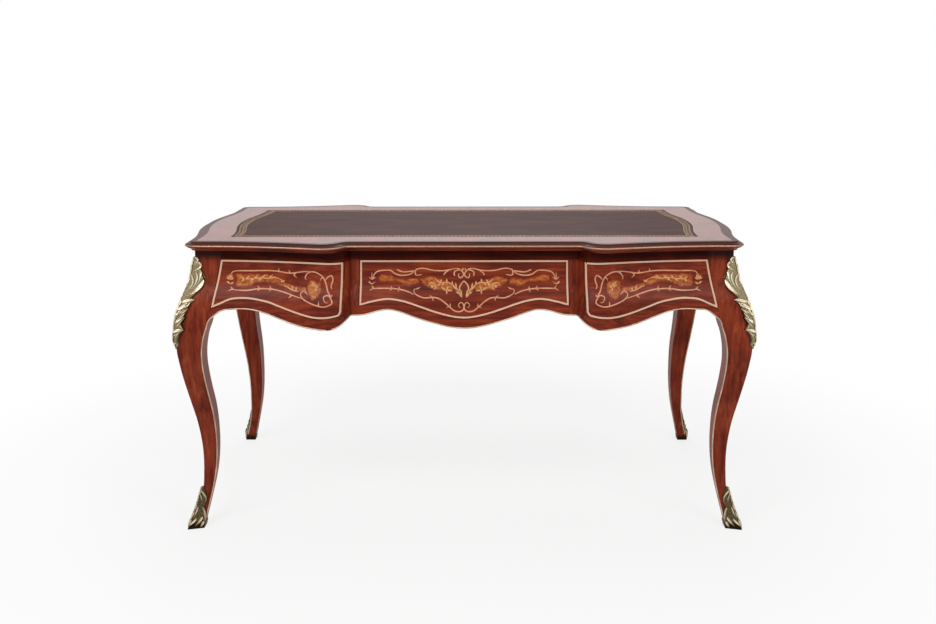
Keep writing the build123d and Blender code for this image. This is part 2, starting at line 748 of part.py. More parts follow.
with BuildPart() as sabot_back_right:
    loft([mount_section(z, r) for z, r in sabot_relief])
    cut_mount(sabot_edge)
    for shift in ((-collar, -collar, 0), (-collar, 0, 0), (0, -collar, 0)):
        with Locations(shift):
            add(foot_slice.part)
    add(leg_blank.part, mode=Mode.SUBTRACT)

with BuildPart() as sabot_back_left:
    mirror(sabot_back_right.part, about=Plane.YZ)

with BuildPart() as sabot_front_right:
    mirror(sabot_back_right.part, about=Plane.XZ)

with BuildPart() as sabot_front_left:
    mirror(sabot_front_right.part, about=Plane.YZ)

# --------------------------------------------------------------------- export
pieces = {
    "top_panel": top_panel, "top_edge_moulding": top_edge_moulding,
    "top_edge_rope": top_edge_rope, "writing_leather": writing_leather,
    "leg_front_left": leg_front_left, "leg_front_right": leg_front_right,
    "leg_back_left": leg_back_left, "leg_back_right": leg_back_right,
    "front_top_rail": front_top_rail,
    "front_lower_rail_left": front_lower_rail_left,
    "front_lower_rail_center": front_lower_rail_center,
    "front_lower_rail_right": front_lower_rail_right,
    "front_post_left": front_post_left, "front_post_right": front_post_right,
    "back_apron": back_apron,
    "side_apron_left": side_apron_left, "side_apron_right": side_apron_right,
    "drawer_partition_left": drawer_partition_left,
    "drawer_partition_right": drawer_partition_right,
    "runner_center_left": runner_center_left, "runner_center_right": runner_center_right,
    "runner_left_inner": runner_left_inner, "runner_right_inner": runner_right_inner,
    "runner_left_outer": runner_left_outer, "runner_right_outer": runner_right_outer,
    "drawer_kickers": drawer_kickers,
    "drawer_left_front": drawer_left_front, "drawer_left_back": drawer_left_back,
    "drawer_left_bottom": drawer_left_bottom,
    "drawer_left_side_inner": drawer_left_side_inner,
    "drawer_left_side_outer": drawer_left_side_outer,
    "drawer_center_front": drawer_center_front, "drawer_center_back": drawer_center_back,
    "drawer_center_bottom": drawer_center_bottom,
    "drawer_center_side_left": drawer_center_side_left,
    "drawer_center_side_right": drawer_center_side_right,
    "drawer_right_front": drawer_right_front, "drawer_right_back": drawer_right_back,
    "drawer_right_bottom": drawer_right_bottom,
    "drawer_right_side_inner": drawer_right_side_inner,
    "drawer_right_side_outer": drawer_right_side_outer,
    "corner_mount_front_left": corner_mount_front_left,
    "corner_mount_front_right": corner_mount_front_right,
    "corner_mount_back_left": corner_mount_back_left,
    "corner_mount_back_right": corner_mount_back_right,
    "sabot_front_left": sabot_front_left, "sabot_front_right": sabot_front_right,
    "sabot_back_left": sabot_back_left, "sabot_back_right": sabot_back_right,
}
for label, piece in pieces.items():
    piece.part.label = label
    export_step(piece.part, f"parts/{label}.step")
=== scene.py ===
# %% [markdown]
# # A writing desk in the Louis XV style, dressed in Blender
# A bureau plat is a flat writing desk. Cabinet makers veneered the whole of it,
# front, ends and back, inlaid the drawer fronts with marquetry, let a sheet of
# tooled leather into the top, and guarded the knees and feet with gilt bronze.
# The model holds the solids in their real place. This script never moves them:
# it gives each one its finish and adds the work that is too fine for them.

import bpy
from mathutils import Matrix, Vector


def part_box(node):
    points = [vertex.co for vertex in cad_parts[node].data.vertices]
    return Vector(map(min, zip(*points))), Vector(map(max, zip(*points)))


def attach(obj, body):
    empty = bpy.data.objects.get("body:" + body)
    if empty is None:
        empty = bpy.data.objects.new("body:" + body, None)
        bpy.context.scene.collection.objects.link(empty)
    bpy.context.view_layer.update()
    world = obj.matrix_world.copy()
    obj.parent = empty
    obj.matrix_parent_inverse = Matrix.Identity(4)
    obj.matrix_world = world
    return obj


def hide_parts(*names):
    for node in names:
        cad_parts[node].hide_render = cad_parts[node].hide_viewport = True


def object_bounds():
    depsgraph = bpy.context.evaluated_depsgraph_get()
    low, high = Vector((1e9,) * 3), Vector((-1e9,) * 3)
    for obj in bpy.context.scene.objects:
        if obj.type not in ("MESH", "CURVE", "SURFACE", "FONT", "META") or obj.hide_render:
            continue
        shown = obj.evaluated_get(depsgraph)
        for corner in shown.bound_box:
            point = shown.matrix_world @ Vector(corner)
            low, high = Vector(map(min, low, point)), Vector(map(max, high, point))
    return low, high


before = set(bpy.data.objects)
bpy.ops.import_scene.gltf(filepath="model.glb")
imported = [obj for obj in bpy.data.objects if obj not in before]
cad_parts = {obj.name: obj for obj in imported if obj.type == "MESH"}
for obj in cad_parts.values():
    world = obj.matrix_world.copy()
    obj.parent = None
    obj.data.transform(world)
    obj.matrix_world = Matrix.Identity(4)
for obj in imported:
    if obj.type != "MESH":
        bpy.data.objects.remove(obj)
cad_box = [list(corner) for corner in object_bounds()]
reach_x, reach_y = cad_box[1][:2]      # nothing that is added stands out past the solids
print("nodes", len(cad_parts), "box", cad_box)

# %% Modules
from math import atan2, cos, pi, radians, sin

import bmesh
import bpy
from mathutils import Matrix, Vector
from mathutils.bvhtree import BVHTree
from mathutils.geometry import delaunay_2d_cdt

MM = 0.001

# %% [markdown]
# ## Camera, floor and light
# The camera stands a good three metres in front of the desk's middle, almost half
# a metre over its top, and looks down by thirteen degrees. The light is a
# photographer's tent: two softboxes high in front, so that the overhang of the top
# throws its shade on the rail, one over the top and one behind, with the pale
# world between them.

# %% Camera
FOCAL_PX, IMAGE_WIDTH_PX = 1071.06, 936
SENSOR_MM = 36.0
FAR_CLIP = 100.0
CAMERA_PLACE = (0.0251, -3.1329, 1.2552)
CAMERA_PITCH, CAMERA_YAW, CAMERA_ROLL = 0.2279, -0.0053, -0.0015       # radians

scene = bpy.context.scene
lens = bpy.data.cameras.new("studio_camera")
lens.sensor_width = SENSOR_MM
lens.lens = FOCAL_PX * SENSOR_MM / IMAGE_WIDTH_PX
lens.clip_end = FAR_CLIP
camera = bpy.data.objects.new("studio_camera", lens)
scene.collection.objects.link(camera)
camera.matrix_world = (Matrix.Translation(CAMERA_PLACE)
                       @ Matrix.Rotation(-CAMERA_YAW, 4, "Z")
                       @ Matrix.Rotation(pi / 2 - CAMERA_PITCH, 4, "X")
                       @ Matrix.Rotation(CAMERA_ROLL, 4, "Z"))
scene.camera = camera
scene.view_settings.view_transform = "Standard"
print("lens", round(lens.lens, 2), "mm")


# %% Node and colour helpers
MULTIPLY = {"data_type": "RGBA", "blend_type": "MULTIPLY", "Factor": 1.0}
COLOUR_A, COLOUR_B, COLOUR_OUT = 6, 7, 2       # a Mix node's sockets when it mixes colours
VECTOR_A, VECTOR_B, VECTOR_OUT = 4, 5, 1       # and when it mixes vectors


def linear(hex_colour):
    """An sRGB hex colour as linear RGBA, which is what shader sockets take."""
    parts = [int(hex_colour[i:i + 2], 16) / 255 for i in (1, 3, 5)]
    return [c / 12.92 if c <= 0.04045 else ((c + 0.055) / 1.055) ** 2.4 for c in parts] + [1.0]


def feed(made, feeds):
    """Links or sets a node's inputs: feeds holds (input name or number, source) pairs.

    A source is a socket, a value, or a node, which stands for its first output.
    """
    for place, source in feeds:
        if isinstance(source, bpy.types.Node):
            source = source.outputs[0]
        if isinstance(source, bpy.types.NodeSocket):
            made.id_data.links.new(source, made.inputs[place])
        else:
            made.inputs[place].default_value = source


def node(tree, kind, feeds=(), stops=(), **settings):
    """Adds a node with its settings and feeds.

    settings are the node's properties or, where it has none of that name, its
    inputs, and stops are the (position, hex colour) pairs of a colour ramp.
    """
    made = tree.nodes.new(kind)
    for key, value in settings.items():
        if hasattr(made, key):
            setattr(made, key, value)
        else:
            made.inputs[key.replace("_", " ")].default_value = value
    feed(made, feeds)
    for i, (position, colour) in enumerate(stops):
        cells = made.color_ramp.elements
        cell = cells[i] if i < len(cells) else cells.new(1.0)
        cell.position = position
        cell.color = linear(colour)
    return made


def new_material(name, **settings):
    """A new material, its tree, its shader, set as told, and the piece's coordinates."""
    material = bpy.data.materials.new(name)
    material.use_nodes = True
    tree = material.node_tree
    tree.nodes.clear()
    shader = node(tree, "ShaderNodeBsdfPrincipled", **settings)
    node(tree, "ShaderNodeOutputMaterial", [(0, shader)])
    return material, tree, shader, node(tree, "ShaderNodeTexCoord").outputs["Object"]


def seen_or_mirrored(tree):
    """1 where the camera or the gloss looks, 0 for the light that falls on things."""
    path = node(tree, "ShaderNodeLightPath").outputs
    return node(tree, "ShaderNodeMath", [(0, path["Is Camera Ray"]), (1, path["Is Glossy Ray"])],
                operation="MAXIMUM")


# %% Floor
# The shader holds the shadow. What the camera and the gloss see is lifted to
# white, all of it further out, and a part of it under the desk.
WHITE_FROM, WHITE_TO = 0.9, 2.0        # metres from the middle of the desk
WHITE_UNDER_DESK = 0.8
FLOOR_REACH = 30.0

floor_material, tree, shader, place = new_material("studio_paper", Roughness=0.9,
                                                   Base_Color=linear("#f6f6f6"))
reach = node(tree, "ShaderNodeVectorMath", [(0, place)], operation="LENGTH").outputs["Value"]
lift = node(tree, "ShaderNodeMapRange", [("Value", reach)], interpolation_type="SMOOTHSTEP",
            From_Min=WHITE_FROM, From_Max=WHITE_TO, To_Min=WHITE_UNDER_DESK, To_Max=1.0)
share = node(tree, "ShaderNodeMath", [(0, lift), (1, seen_or_mirrored(tree))],
             operation="MULTIPLY")
white = node(tree, "ShaderNodeEmission", Color=linear("#ffffff"), Strength=1.0)
mix = node(tree, "ShaderNodeMixShader", [(0, share), (1, shader), (2, white)])
feed(tree.nodes["Material Output"], [(0, mix)])

floor_mesh = bpy.data.meshes.new("floor")
corners = [(x * FLOOR_REACH, y * FLOOR_REACH, 0) for x, y in ((-1, -1), (1, -1), (1, 1), (-1, 1))]
floor_mesh.from_pydata(corners, [], [(0, 1, 2, 3)])
floor = bpy.data.objects.new("floor", floor_mesh)
floor_mesh.materials.append(floor_material)
scene.collection.objects.link(floor)
print("floor", 2 * FLOOR_REACH, "m wide")

# %% World
TENT_LIGHT = 0.3               # what the tent gives to matt surfaces

world = bpy.data.worlds.new("studio_tent")
world.use_nodes = True
scene.world = world
tree = world.node_tree
tree.nodes.clear()
tent, shown = (node(tree, "ShaderNodeBackground", Color=linear("#ffffff"), Strength=strength)
               for strength in (TENT_LIGHT, 1.0))
mix = node(tree, "ShaderNodeMixShader", [(0, seen_or_mirrored(tree)), (1, tent), (2, shown)])
node(tree, "ShaderNodeOutputWorld", [(0, mix)])
print("tent light", TENT_LIGHT)

# %% Softboxes
DESK_MIDDLE = Vector((0, 0, 0.6))      # the point that they all face
SOFTBOXES = [                  # name, place, width and height in metres, watts
    ("key_softbox", (-1.7, -2.6, 3.3), 2.0, 1.4, 58),
    ("fill_softbox", (2.0, -2.5, 3.1), 1.6, 1.4, 32),
    ("top_softbox", (0.0, 0.4, 3.4), 2.4, 1.6, 18),
    ("rear_softbox", (0.0, 3.2, 3.0), 2.4, 1.2, 34),
]

for name, place, width, height, power in SOFTBOXES:
    light = bpy.data.lights.new(name, "AREA")
    light.shape = "RECTANGLE"
    light.size = width
    light.size_y = height
    light.energy = power
    lamp = bpy.data.objects.new(name, light)
    lamp.location = place
    lamp.rotation_euler = (DESK_MIDDLE - Vector(place)).to_track_quat("-Z", "Y").to_euler()
    scene.collection.objects.link(lamp)
    print(name, power, "W")

# %% [markdown]
# ## Polished mahogany
# The veneer is knife-cut mahogany under French polish. It is a red brown with a
# ribbon figure that runs with the grain, fine dark pores, and a rubbed coat that is
# soft on the frieze and legs. The border of the top shines more: at a flat angle it
# mirrors the room, which makes it look so pale from the front. The grain follows
# each piece: up the legs, across the rails. One function makes them all, with the
# grain's axis as its input.

# %% Wood helpers
GRAIN_AXES = {"x": 0, "y": 1, "z": 2}
FIGURE_LENGTH_MM, CLOUD_MM, PORE_LENGTH_MM = 190, 90, 24
CLOUD_SHARE = 0.4              # of the clouds against the ribbons


def grain_scale(axis, along_mm, across_mm):
    """A Mapping node's scale for patterns of these sizes along and across the grain."""
    sizes = [along_mm if i == GRAIN_AXES[axis] else across_mm for i in range(3)]
    return [1 / (size * MM) for size in sizes]


def figured_wood(tree, place, axis, stops, figure_mm=11, pore_mm=0.9):
    """Colour of figured wood, and the height of its pores.

    Ribbons run along the grain, wide clouds move the tone, and pores are dark.
    """
    along = node(tree, "ShaderNodeMapping", [("Vector", place)],
                 Scale=grain_scale(axis, FIGURE_LENGTH_MM, figure_mm))
    ribbon = node(tree, "ShaderNodeTexNoise", [("Vector", along)], Scale=1.0, Detail=5.0,
                  Roughness=0.62, Distortion=0.5)
    cloud = node(tree, "ShaderNodeTexNoise", [("Vector", place)], Scale=1 / (CLOUD_MM * MM),
                 Detail=2.0)
    soft = node(tree, "ShaderNodeMath", [(0, cloud), (1, CLOUD_SHARE), (2, ribbon)],
                operation="MULTIPLY_ADD")
    tone = node(tree, "ShaderNodeMapRange", [("Value", soft)], From_Min=0.45, From_Max=0.95)
    colour = node(tree, "ShaderNodeValToRGB", [(0, tone)], stops=stops)
    fine = node(tree, "ShaderNodeMapping", [("Vector", place)],
                Scale=grain_scale(axis, PORE_LENGTH_MM, pore_mm))
    pores = node(tree, "ShaderNodeTexNoise", [("Vector", fine)], Scale=1.0, Detail=2.0,
                 Roughness=0.7)
    specks = node(tree, "ShaderNodeMapRange", [("Value", pores)], From_Min=0.38, From_Max=0.55,
                  To_Min=0.74, To_Max=1.0)
    both = node(tree, "ShaderNodeMix", [(COLOUR_A, colour), (COLOUR_B, specks)], **MULTIPLY)
    return both.outputs[COLOUR_OUT], pores


def clouded(tree, place, size_mm, stops, **settings):
    """A colour that changes in clouds of about this size."""
    cloud = node(tree, "ShaderNodeTexNoise", [("Vector", place)], Scale=1 / (size_mm * MM),
                 **settings)
    return node(tree, "ShaderNodeValToRGB", [(0, cloud)], stops=stops)


def dress(tree, shader, colour, height, depth_mm, strength):
    """Gives a shader its colour, and a relief of this depth."""
    relief = node(tree, "ShaderNodeBump", [("Height", height)], Distance=depth_mm * MM,
                  Strength=strength)
    feed(shader, [("Base Color", colour), ("Normal", relief)])


# %% Mahogany for each direction of the grain
# Rubbed-down polish: the red of the wood is deep and its gloss is soft.
MAHOGANY = [(0.0, "#4c1407"), (0.35, "#6f220f"), (0.65, "#8a3218"), (1.0, "#a54623")]
# The legs' copy is a little lighter: a painted sheen that makes up for their lower gloss.
LEG_MAHOGANY_PAINTED_SHEEN = [(0.0, "#511a0d"), (0.35, "#762a17"), (0.65, "#903a21"), (1.0, "#aa4c2b")]
# The moulding's copy is lighter: painted light on its roll below the rope.
MOULDING_MAHOGANY_PAINTED_LIGHT = [(0.0, "#4e1a0f"), (0.4, "#7b2f19"), (1.0, "#a64829")]


def mahogany(name, axis, stops=MAHOGANY, gloss=0.17):
    """Polished mahogany veneer with its grain along one axis."""
    material, tree, shader, place = new_material(name, Roughness=0.4, IOR=1.5,
                                                 Specular_IOR_Level=gloss)
    colour, pores = figured_wood(tree, place, axis, stops)
    dress(tree, shader, colour, pores, depth_mm=0.05, strength=0.25)
    return material


mahogany_across = mahogany("mahogany_veneer_across", "x")
mahogany_upright = mahogany("mahogany_veneer_upright", "z", LEG_MAHOGANY_PAINTED_SHEEN, gloss=0.11)
mahogany_ends = mahogany("mahogany_veneer_ends", "y")
moulding_mahogany_painted_light_and_shade = mahogany("mahogany_moulding_painted_light_and_shade", "x", MOULDING_MAHOGANY_PAINTED_LIGHT)
# The top rail gets its own copy, with less gloss, and below it is darkened further as painted shade
# from the overhang.
rail_mahogany_painted_shade = mahogany("mahogany_top_rail_painted_shade", "x", gloss=0.05)
print("mahogany lengthwise, upright, on the ends, on the moulding and on the top rail")


# %% Tone by height
def tint_by_height(material, tint, tinted_at, clear_at):
    """Multiplies a material's colour by a tint, which fades between two heights."""
    tree = material.node_tree
    shader = tree.nodes["Principled BSDF"]
    place = node(tree, "ShaderNodeTexCoord").outputs["Object"]
    height = node(tree, "ShaderNodeSeparateXYZ", [(0, place)]).outputs["Z"]
    fade = node(tree, "ShaderNodeMapRange", [("Value", height)], From_Min=tinted_at,
                From_Max=clear_at, To_Min=1.0, To_Max=0.0)
    colour = shader.inputs["Base Color"].links[0].from_socket
    toned = node(tree, "ShaderNodeMix", [(0, fade), (COLOUR_A, colour),
                                         (COLOUR_B, linear(tint))], **MULTIPLY)
    feed(shader, [("Base Color", toned.outputs[COLOUR_OUT])])


# Painted shade: over its rope the moulding is darkened, as if in the shadow of its groove.
ROPE_SHADE_FADE, SHADE_FADE = 2 * MM, 6 * MM
rope_low, rope_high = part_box("top_edge_rope")
rope_middle = (rope_low.z + rope_high.z) / 2
tint_by_height(moulding_mahogany_painted_light_and_shade, "#867c74", rope_middle + ROPE_SHADE_FADE, rope_middle - ROPE_SHADE_FADE)

# Painted shade: the wood under the overhang of the top is darkened as if in its shadow, the top rail
# most, and the legs, posts, fronts, ends and back too.
rail_low, rail_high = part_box("front_top_rail")
rail_middle = (rail_low.z + rail_high.z) / 2
tint_by_height(rail_mahogany_painted_shade, "#795c5c", rail_middle, 2 * rail_low.z - rail_high.z)
for material in (mahogany_across, mahogany_upright, mahogany_ends):
    tint_by_height(material, "#5c4040", rail_middle, rail_low.z - SHADE_FADE)
print("wood darker from", round(rail_low.z / MM), "mm up to", round(rail_high.z / MM), "mm")

# %% [markdown]
# ## Crossbanded top
# The border of the top is cut across: its grain runs in from the edge on all four
# sides, and the bands meet in mitres at the corners of the leather. The material
# swaps the coordinates' axes past the mitre lines instead of using two pieces.

# %% Crossbanding
leather_low, leather_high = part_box("writing_leather")
MITRE = leather_high.x - leather_high.y

crossbanding, tree, shader, place = new_material("mahogany_crossbanding", Roughness=0.24,
                                                 IOR=1.5, Specular_IOR_Level=0.42)
x, y, z = node(tree, "ShaderNodeSeparateXYZ", [(0, place)]).outputs
far_x = node(tree, "ShaderNodeMath", [(0, x)], operation="ABSOLUTE")
far_y = node(tree, "ShaderNodeMath", [(0, y)], operation="ABSOLUTE")
past = node(tree, "ShaderNodeMath", [(0, far_x), (1, far_y)], operation="SUBTRACT")
at_end = node(tree, "ShaderNodeMath", [(0, past), (1, MITRE)], operation="GREATER_THAN")
turned = node(tree, "ShaderNodeCombineXYZ", [(0, y), (1, x), (2, z)])
pick = node(tree, "ShaderNodeMix", [(0, at_end), (VECTOR_A, place), (VECTOR_B, turned)],
            data_type="VECTOR")
colour, pores = figured_wood(tree, pick.outputs[VECTOR_OUT], "y", MAHOGANY)
dress(tree, shader, colour, pores, depth_mm=0.04, strength=0.2)
print("mitre where |x| - |y| is", round(MITRE, 3), "m")

# %% [markdown]
# ## Oak inside
# Nobody polishes what does not show: the runners, partitions and drawer sides are
# planed oak, pale, dry and open-grained, and darker on the carcass, where a
# century of dust has settled.

# %% Oak
DRAWER_OAK = [(0.0, "#8a6236"), (0.5, "#b18452"), (1.0, "#c89f6c")]
CARCASS_OAK = [(0.0, "#5d3d22"), (0.5, "#80583a"), (1.0, "#9c7350")]


def oak(name, axis, stops):
    """Planed, unpolished oak."""
    material, tree, shader, place = new_material(name, Roughness=0.62)
    colour, pores = figured_wood(tree, place, axis, stops, figure_mm=9, pore_mm=1.2)
    dress(tree, shader, colour, pores, depth_mm=0.15, strength=0.5)
    return material


drawer_oak = oak("planed_oak_drawer", "y", DRAWER_OAK)
drawer_oak_cross = oak("planed_oak_drawer_cross", "x", DRAWER_OAK)
carcass_oak = oak("planed_oak_carcass", "y", CARCASS_OAK)
print("three oaks")

# %% [markdown]
# ## Which solid gets which finish
# The solids keep their shape. Each one only gets its material, chosen by what
# the piece is: a leg has upright grain, a rail has it lengthwise, an end apron
# front to back, and the oak pieces stay unpolished.

# %% Finish the solids
FINISHES = [("leg_", mahogany_upright), ("front_post", mahogany_upright),
            ("side_apron", mahogany_ends), ("top_panel", crossbanding),
            ("top_edge_moulding", moulding_mahogany_painted_light_and_shade),
            ("front_top_rail", rail_mahogany_painted_shade), ("front_", mahogany_across),
            ("back_apron", mahogany_across), ("drawer_partition", carcass_oak),
            ("drawer_kickers", carcass_oak), ("runner_", carcass_oak)]
DRAWERS = ("drawer_left", "drawer_center", "drawer_right")


def finish_of(name):
    """The finish of a solid, by its name: the first that fits."""
    if name.startswith(DRAWERS):
        if name.endswith("_front"):
            return mahogany_across
        return drawer_oak_cross if name.endswith("_back") else drawer_oak
    return next((finish for start, finish in FINISHES if name.startswith(start)), None)


def give_finish(name, finish):
    """Puts one material in all of a solid's slots."""
    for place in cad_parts[name].material_slots:
        place.material = finish


finishes = {name: finish_of(name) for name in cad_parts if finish_of(name)}
for name, finish in finishes.items():
    give_finish(name, finish)
print("finished", len(finishes), "solids")

# %% [markdown]
# ## Finding the surface
# Inlay lies in the wood, so its pieces take their place from the solids. A
# search tree over a solid's faces answers where a ray meets it. Lines are
# drawn flat, as a marquetry cutter draws them, and then laid on the swelled
# front with a ray straight from the front.

# %% Surface helpers
OUTSIDE = 2.0                  # rays start this far out, in metres
FRONT_REACH = 1.63             # from there to the front of the desk
INLAY_LIFT = 0.15 * MM         # inlay over the ground, so that the two don't mix
INLAY_DEPTH = 0.4 * MM


def surface_of(*names):
    """A search tree over the faces of some solids."""
    points, faces = [], []
    for name in names:
        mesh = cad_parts[name].data
        start = len(points)
        points += [v.co.copy() for v in mesh.vertices]
        faces += [[start + i for i in face.vertices] for face in mesh.polygons]
    return BVHTree.FromPolygons(points, faces)


def met(tree, start, direction, reach=FRONT_REACH):
    """Point and outward normal where a ray first meets a surface.

    A ray that misses it takes the point nearest to the ray's end.
    """
    start, direction = Vector(start), Vector(direction).normalized()
    point, normal = tree.ray_cast(start, direction)[:2]
    if point is None:
        point, normal = tree.find_nearest(start + direction * reach)[:2]
    return point, (-normal if normal.dot(direction) > 0 else normal)


def on_front(tree, flat, lift):
    """A point of a flat drawing, (x, z), laid on the front and lifted off it."""
    point, normal = met(tree, (flat[0], -OUTSIDE, flat[1]), (0, 1, 0))
    return point + normal * lift


def smooth_line(points, step, closed=False):
    """Points about a step apart on the smooth line through a few given ones."""
    points = [Vector(p) for p in points]
    last = len(points)
    line = []
    for i in range(last if closed else last - 1):
        a, b, c, d = (points[(i + k) % last] if closed else points[min(max(i + k, 0), last - 1)]
                      for k in (-1, 0, 1, 2))
        steps = max(1, round((c - b).length / step))
        for j in range(steps):
            t = j / steps
            line.append(0.5 * (2 * b + (c - a) * t + (2 * a - 5 * b + 4 * c - d) * t ** 2
                               + (3 * b - a - 3 * c + d) * t ** 3))
    return line if closed else line + [points[-1]]


# %% Mesh helpers
def add_piece(name, source, body, material=None):
    """Turns a bmesh or a mesh into a piece that rides on a body."""
    mesh = source
    if isinstance(source, bmesh.types.BMesh):
        bmesh.ops.recalc_face_normals(source, faces=source.faces)
        mesh = bpy.data.meshes.new(name)
        source.to_mesh(mesh)
        source.free()
    if material:
        mesh.materials.append(material)
    piece = bpy.data.objects.new(name, mesh)
    scene.collection.objects.link(piece)
    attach(piece, body)
    print(name, len(mesh.polygons), "faces on", body)
    return piece


def attribute(made, name):
    """The attribute of a bmesh's vertices that a material reads by this name."""
    layers = made.verts.layers.float
    return layers.get(name) or layers.new(name)


def bridge(made, one, two):
    """Joins two rings of vertices with faces."""
    for k in range(len(one)):
        j = (k + 1) % len(one)
        made.faces.new((one[k], one[j], two[j], two[k]))


def skin(made, rings):
    """Joins rings of vertices one after the other, and closes both ends."""
    for one, two in zip(rings, rings[1:]):
        bridge(made, one, two)
    made.faces.new(rings[0])
    made.faces.new(rings[-1])


# %% Band along a line
def band_edges(line, half_width, closed):
    """Both edges of a band along a flat line, mitred where it turns."""
    left, right = [], []
    last = len(line) - 1
    for i, point in enumerate(line):
        after = line[(i + 1) % len(line)] if closed or i < last else None
        before = line[i - 1] if closed or i else None
        ahead = ((after or point) - (point if after else before)).normalized()
        behind = ((point if before else after) - (before or point)).normalized()
        side = Vector((-ahead.y - behind.y, ahead.x + behind.x))
        side *= 2 / max(side.length_squared, 1.0)
        width = half_width(i / last)
        left.append(point + side * width)
        right.append(point - side * width)
    return left, right


def lay_band(made, tree, line, half_width, closed=False, lift=INLAY_LIFT):
    """Adds a thin closed band of inlay; its UV map runs along and across it, in metres."""
    uv = made.loops.layers.uv.verify()
    inside = attribute(made, "inside")
    rows, runs, run = [], [], 0.0
    for i, (a, b) in enumerate(zip(*band_edges(line, half_width, closed))):
        run += (line[i] - line[i - 1]).length if i else 0.0
        runs.append(run)
        rows.append([made.verts.new(on_front(tree, p, h)) for p, h in
                     ((a, lift), (b, lift), (b, -INLAY_DEPTH), (a, -INLAY_DEPTH))])
        for vert in rows[-1]:
            vert[inside] = 1.0
    across = 2 * half_width(0.5)
    for i in range(len(rows) - (not closed)):
        one, two = rows[i], rows[(i + 1) % len(rows)]
        ends = (runs[i], runs[i + 1] if i + 1 < len(rows) else run + (line[0] - line[-1]).length)
        for k in range(4):
            side = made.faces.new((one[k], one[(k + 1) % 4], two[(k + 1) % 4], two[k]))
            spread = [across * (j in (1, 2)) for j in (k, (k + 1) % 4)]
            places = ((ends[0], spread[0]), (ends[0], spread[1]),
                      (ends[1], spread[1]), (ends[1], spread[0]))
            for corner, place in zip(side.loops, places):
                corner[uv].uv = place
    if not closed:
        made.faces.new(rows[0])
        made.faces.new(rows[-1])


# %% [markdown]
# ## Rope stringing
# Each drawer front is framed by a line of stringing: little slanting blocks of
# holly and walnut glued into a strip, cut thin and let into the ground, which
# reads as a fine twisted rope. The band is a real strip of mesh, and its UV map,
# in metres, carries the slanting blocks.

# %% Stringing material
BLOCK_MM = 4.2                 # a light and a dark block together, drawn coarse to show

stringing_wood, tree, shader, place = new_material("rope_stringing", Roughness=0.4,
                                                   Specular_IOR_Level=0.25)
uv = place.node.outputs["UV"]
along, across, _ = node(tree, "ShaderNodeSeparateXYZ", [(0, uv)]).outputs
slant = node(tree, "ShaderNodeMath", [(0, along), (1, across)], operation="ADD")
turns = node(tree, "ShaderNodeMath", [(0, slant), (1, BLOCK_MM * MM)], operation="DIVIDE")
share = node(tree, "ShaderNodeMath", [(0, turns)], operation="FRACT")
blocks = node(tree, "ShaderNodeValToRGB", [(0, share)],
              stops=[(0.0, "#a86c50"), (0.22, "#ecc0a2"), (0.82, "#f8d6ba"), (1.0, "#a86c50")])
feed(shader, [("Base Color", blocks)])
print("slanting blocks", BLOCK_MM, "mm apart")

# %% Stringing on the drawer fronts
# The points are (x, z) in millimetres, on the right half of the desk.
STRING_HALF_WIDTH = 2.3 * MM
STRING_STEP = 4 * MM
side_string_corners = [(319, 746.5), (643, 746.5), (668, 628.5)]
side_string_wave = [(668, 628.5), (648.8, 636), (622, 647.4), (595.7, 651), (569, 651),
                    (542, 647.6), (515, 642.4), (488, 633.4), (461, 624.8), (434, 617),
                    (407, 611), (380, 608.5), (353.5, 610.8), (338, 613.5), (328, 616),
                    (323, 624)]
centre_string_corner = (273, 745.3)
centre_string_half = [(274.5, 634), (244, 642.3), (202, 648.4), (159.5, 642.3), (117.4, 628.9),
                      (75, 614.6), (33, 604.1), (0, 600.7)]


def in_metres(points, side=1):
    """Points in metres, mirrored where side is -1."""
    return [Vector((side * x * MM, z * MM)) for x, z in points]


def straight(points):
    """Points a step apart on the straight runs between corners."""
    line = []
    for a, b in zip(points, points[1:]):
        steps = max(1, round((b - a).length / STRING_STEP))
        line += [a.lerp(b, j / steps) for j in range(steps)]
    return line


fronts = {body: surface_of(body + "_front") for body in DRAWERS}
frames = {}
for body, side in (("drawer_left", -1), ("drawer_right", 1)):
    wave = smooth_line(in_metres(side_string_wave, side), STRING_STEP)
    corners = in_metres(side_string_corners, side)
    frames[body] = straight(corners) + wave + straight([wave[-1], corners[0]])[1:]

wave = smooth_line(in_metres(centre_string_half) + in_metres(centre_string_half[-2::-1], -1),
                   STRING_STEP)
corners = in_metres([centre_string_corner], -1) + in_metres([centre_string_corner])
frames["drawer_center"] = straight([wave[-1], *corners, wave[0]]) + wave[:-1]

for body, line in frames.items():
    made = bmesh.new()
    lay_band(made, fronts[body], line, lambda t: STRING_HALF_WIDTH, closed=True)
    add_piece(f"stringing_{body}", made, body, stringing_wood)

# %% [markdown]
# ## Marquetry
# The drawer fronts carry traditional floral marquetry: thin strapwork scrolls in
# boxwood, with thorns and curled ends, round panels of burr, and over the burr
# branches of foliage in satinwood. A cutter works from a full-size drawing. Here
# the drawing's points are places in the camera's picture plane, 936 by 624, and a
# sight line through each of them finds its place on the wood. Each list has just
# the points that its curve needs, and the left drawer mirrors the right one.

# %% From the picture plane to the wood
CENTRE_PX = (468, 312)
SIGHT_REACH = 2.8              # metres from the camera to the front of the desk


def seen_at(tree, pixel):
    """Where the sight line through a picture point meets a surface."""
    eye = camera.matrix_world.to_3x3() @ Vector((pixel[0] - CENTRE_PX[0],
                                                 CENTRE_PX[1] - pixel[1], -FOCAL_PX))
    return met(tree, camera.matrix_world.translation, eye, SIGHT_REACH)[0]


def sighted(tree, pixel):
    """Flat place, (x, z), of a picture point on the wood."""
    point = seen_at(tree, pixel)
    return Vector((point.x, point.z))


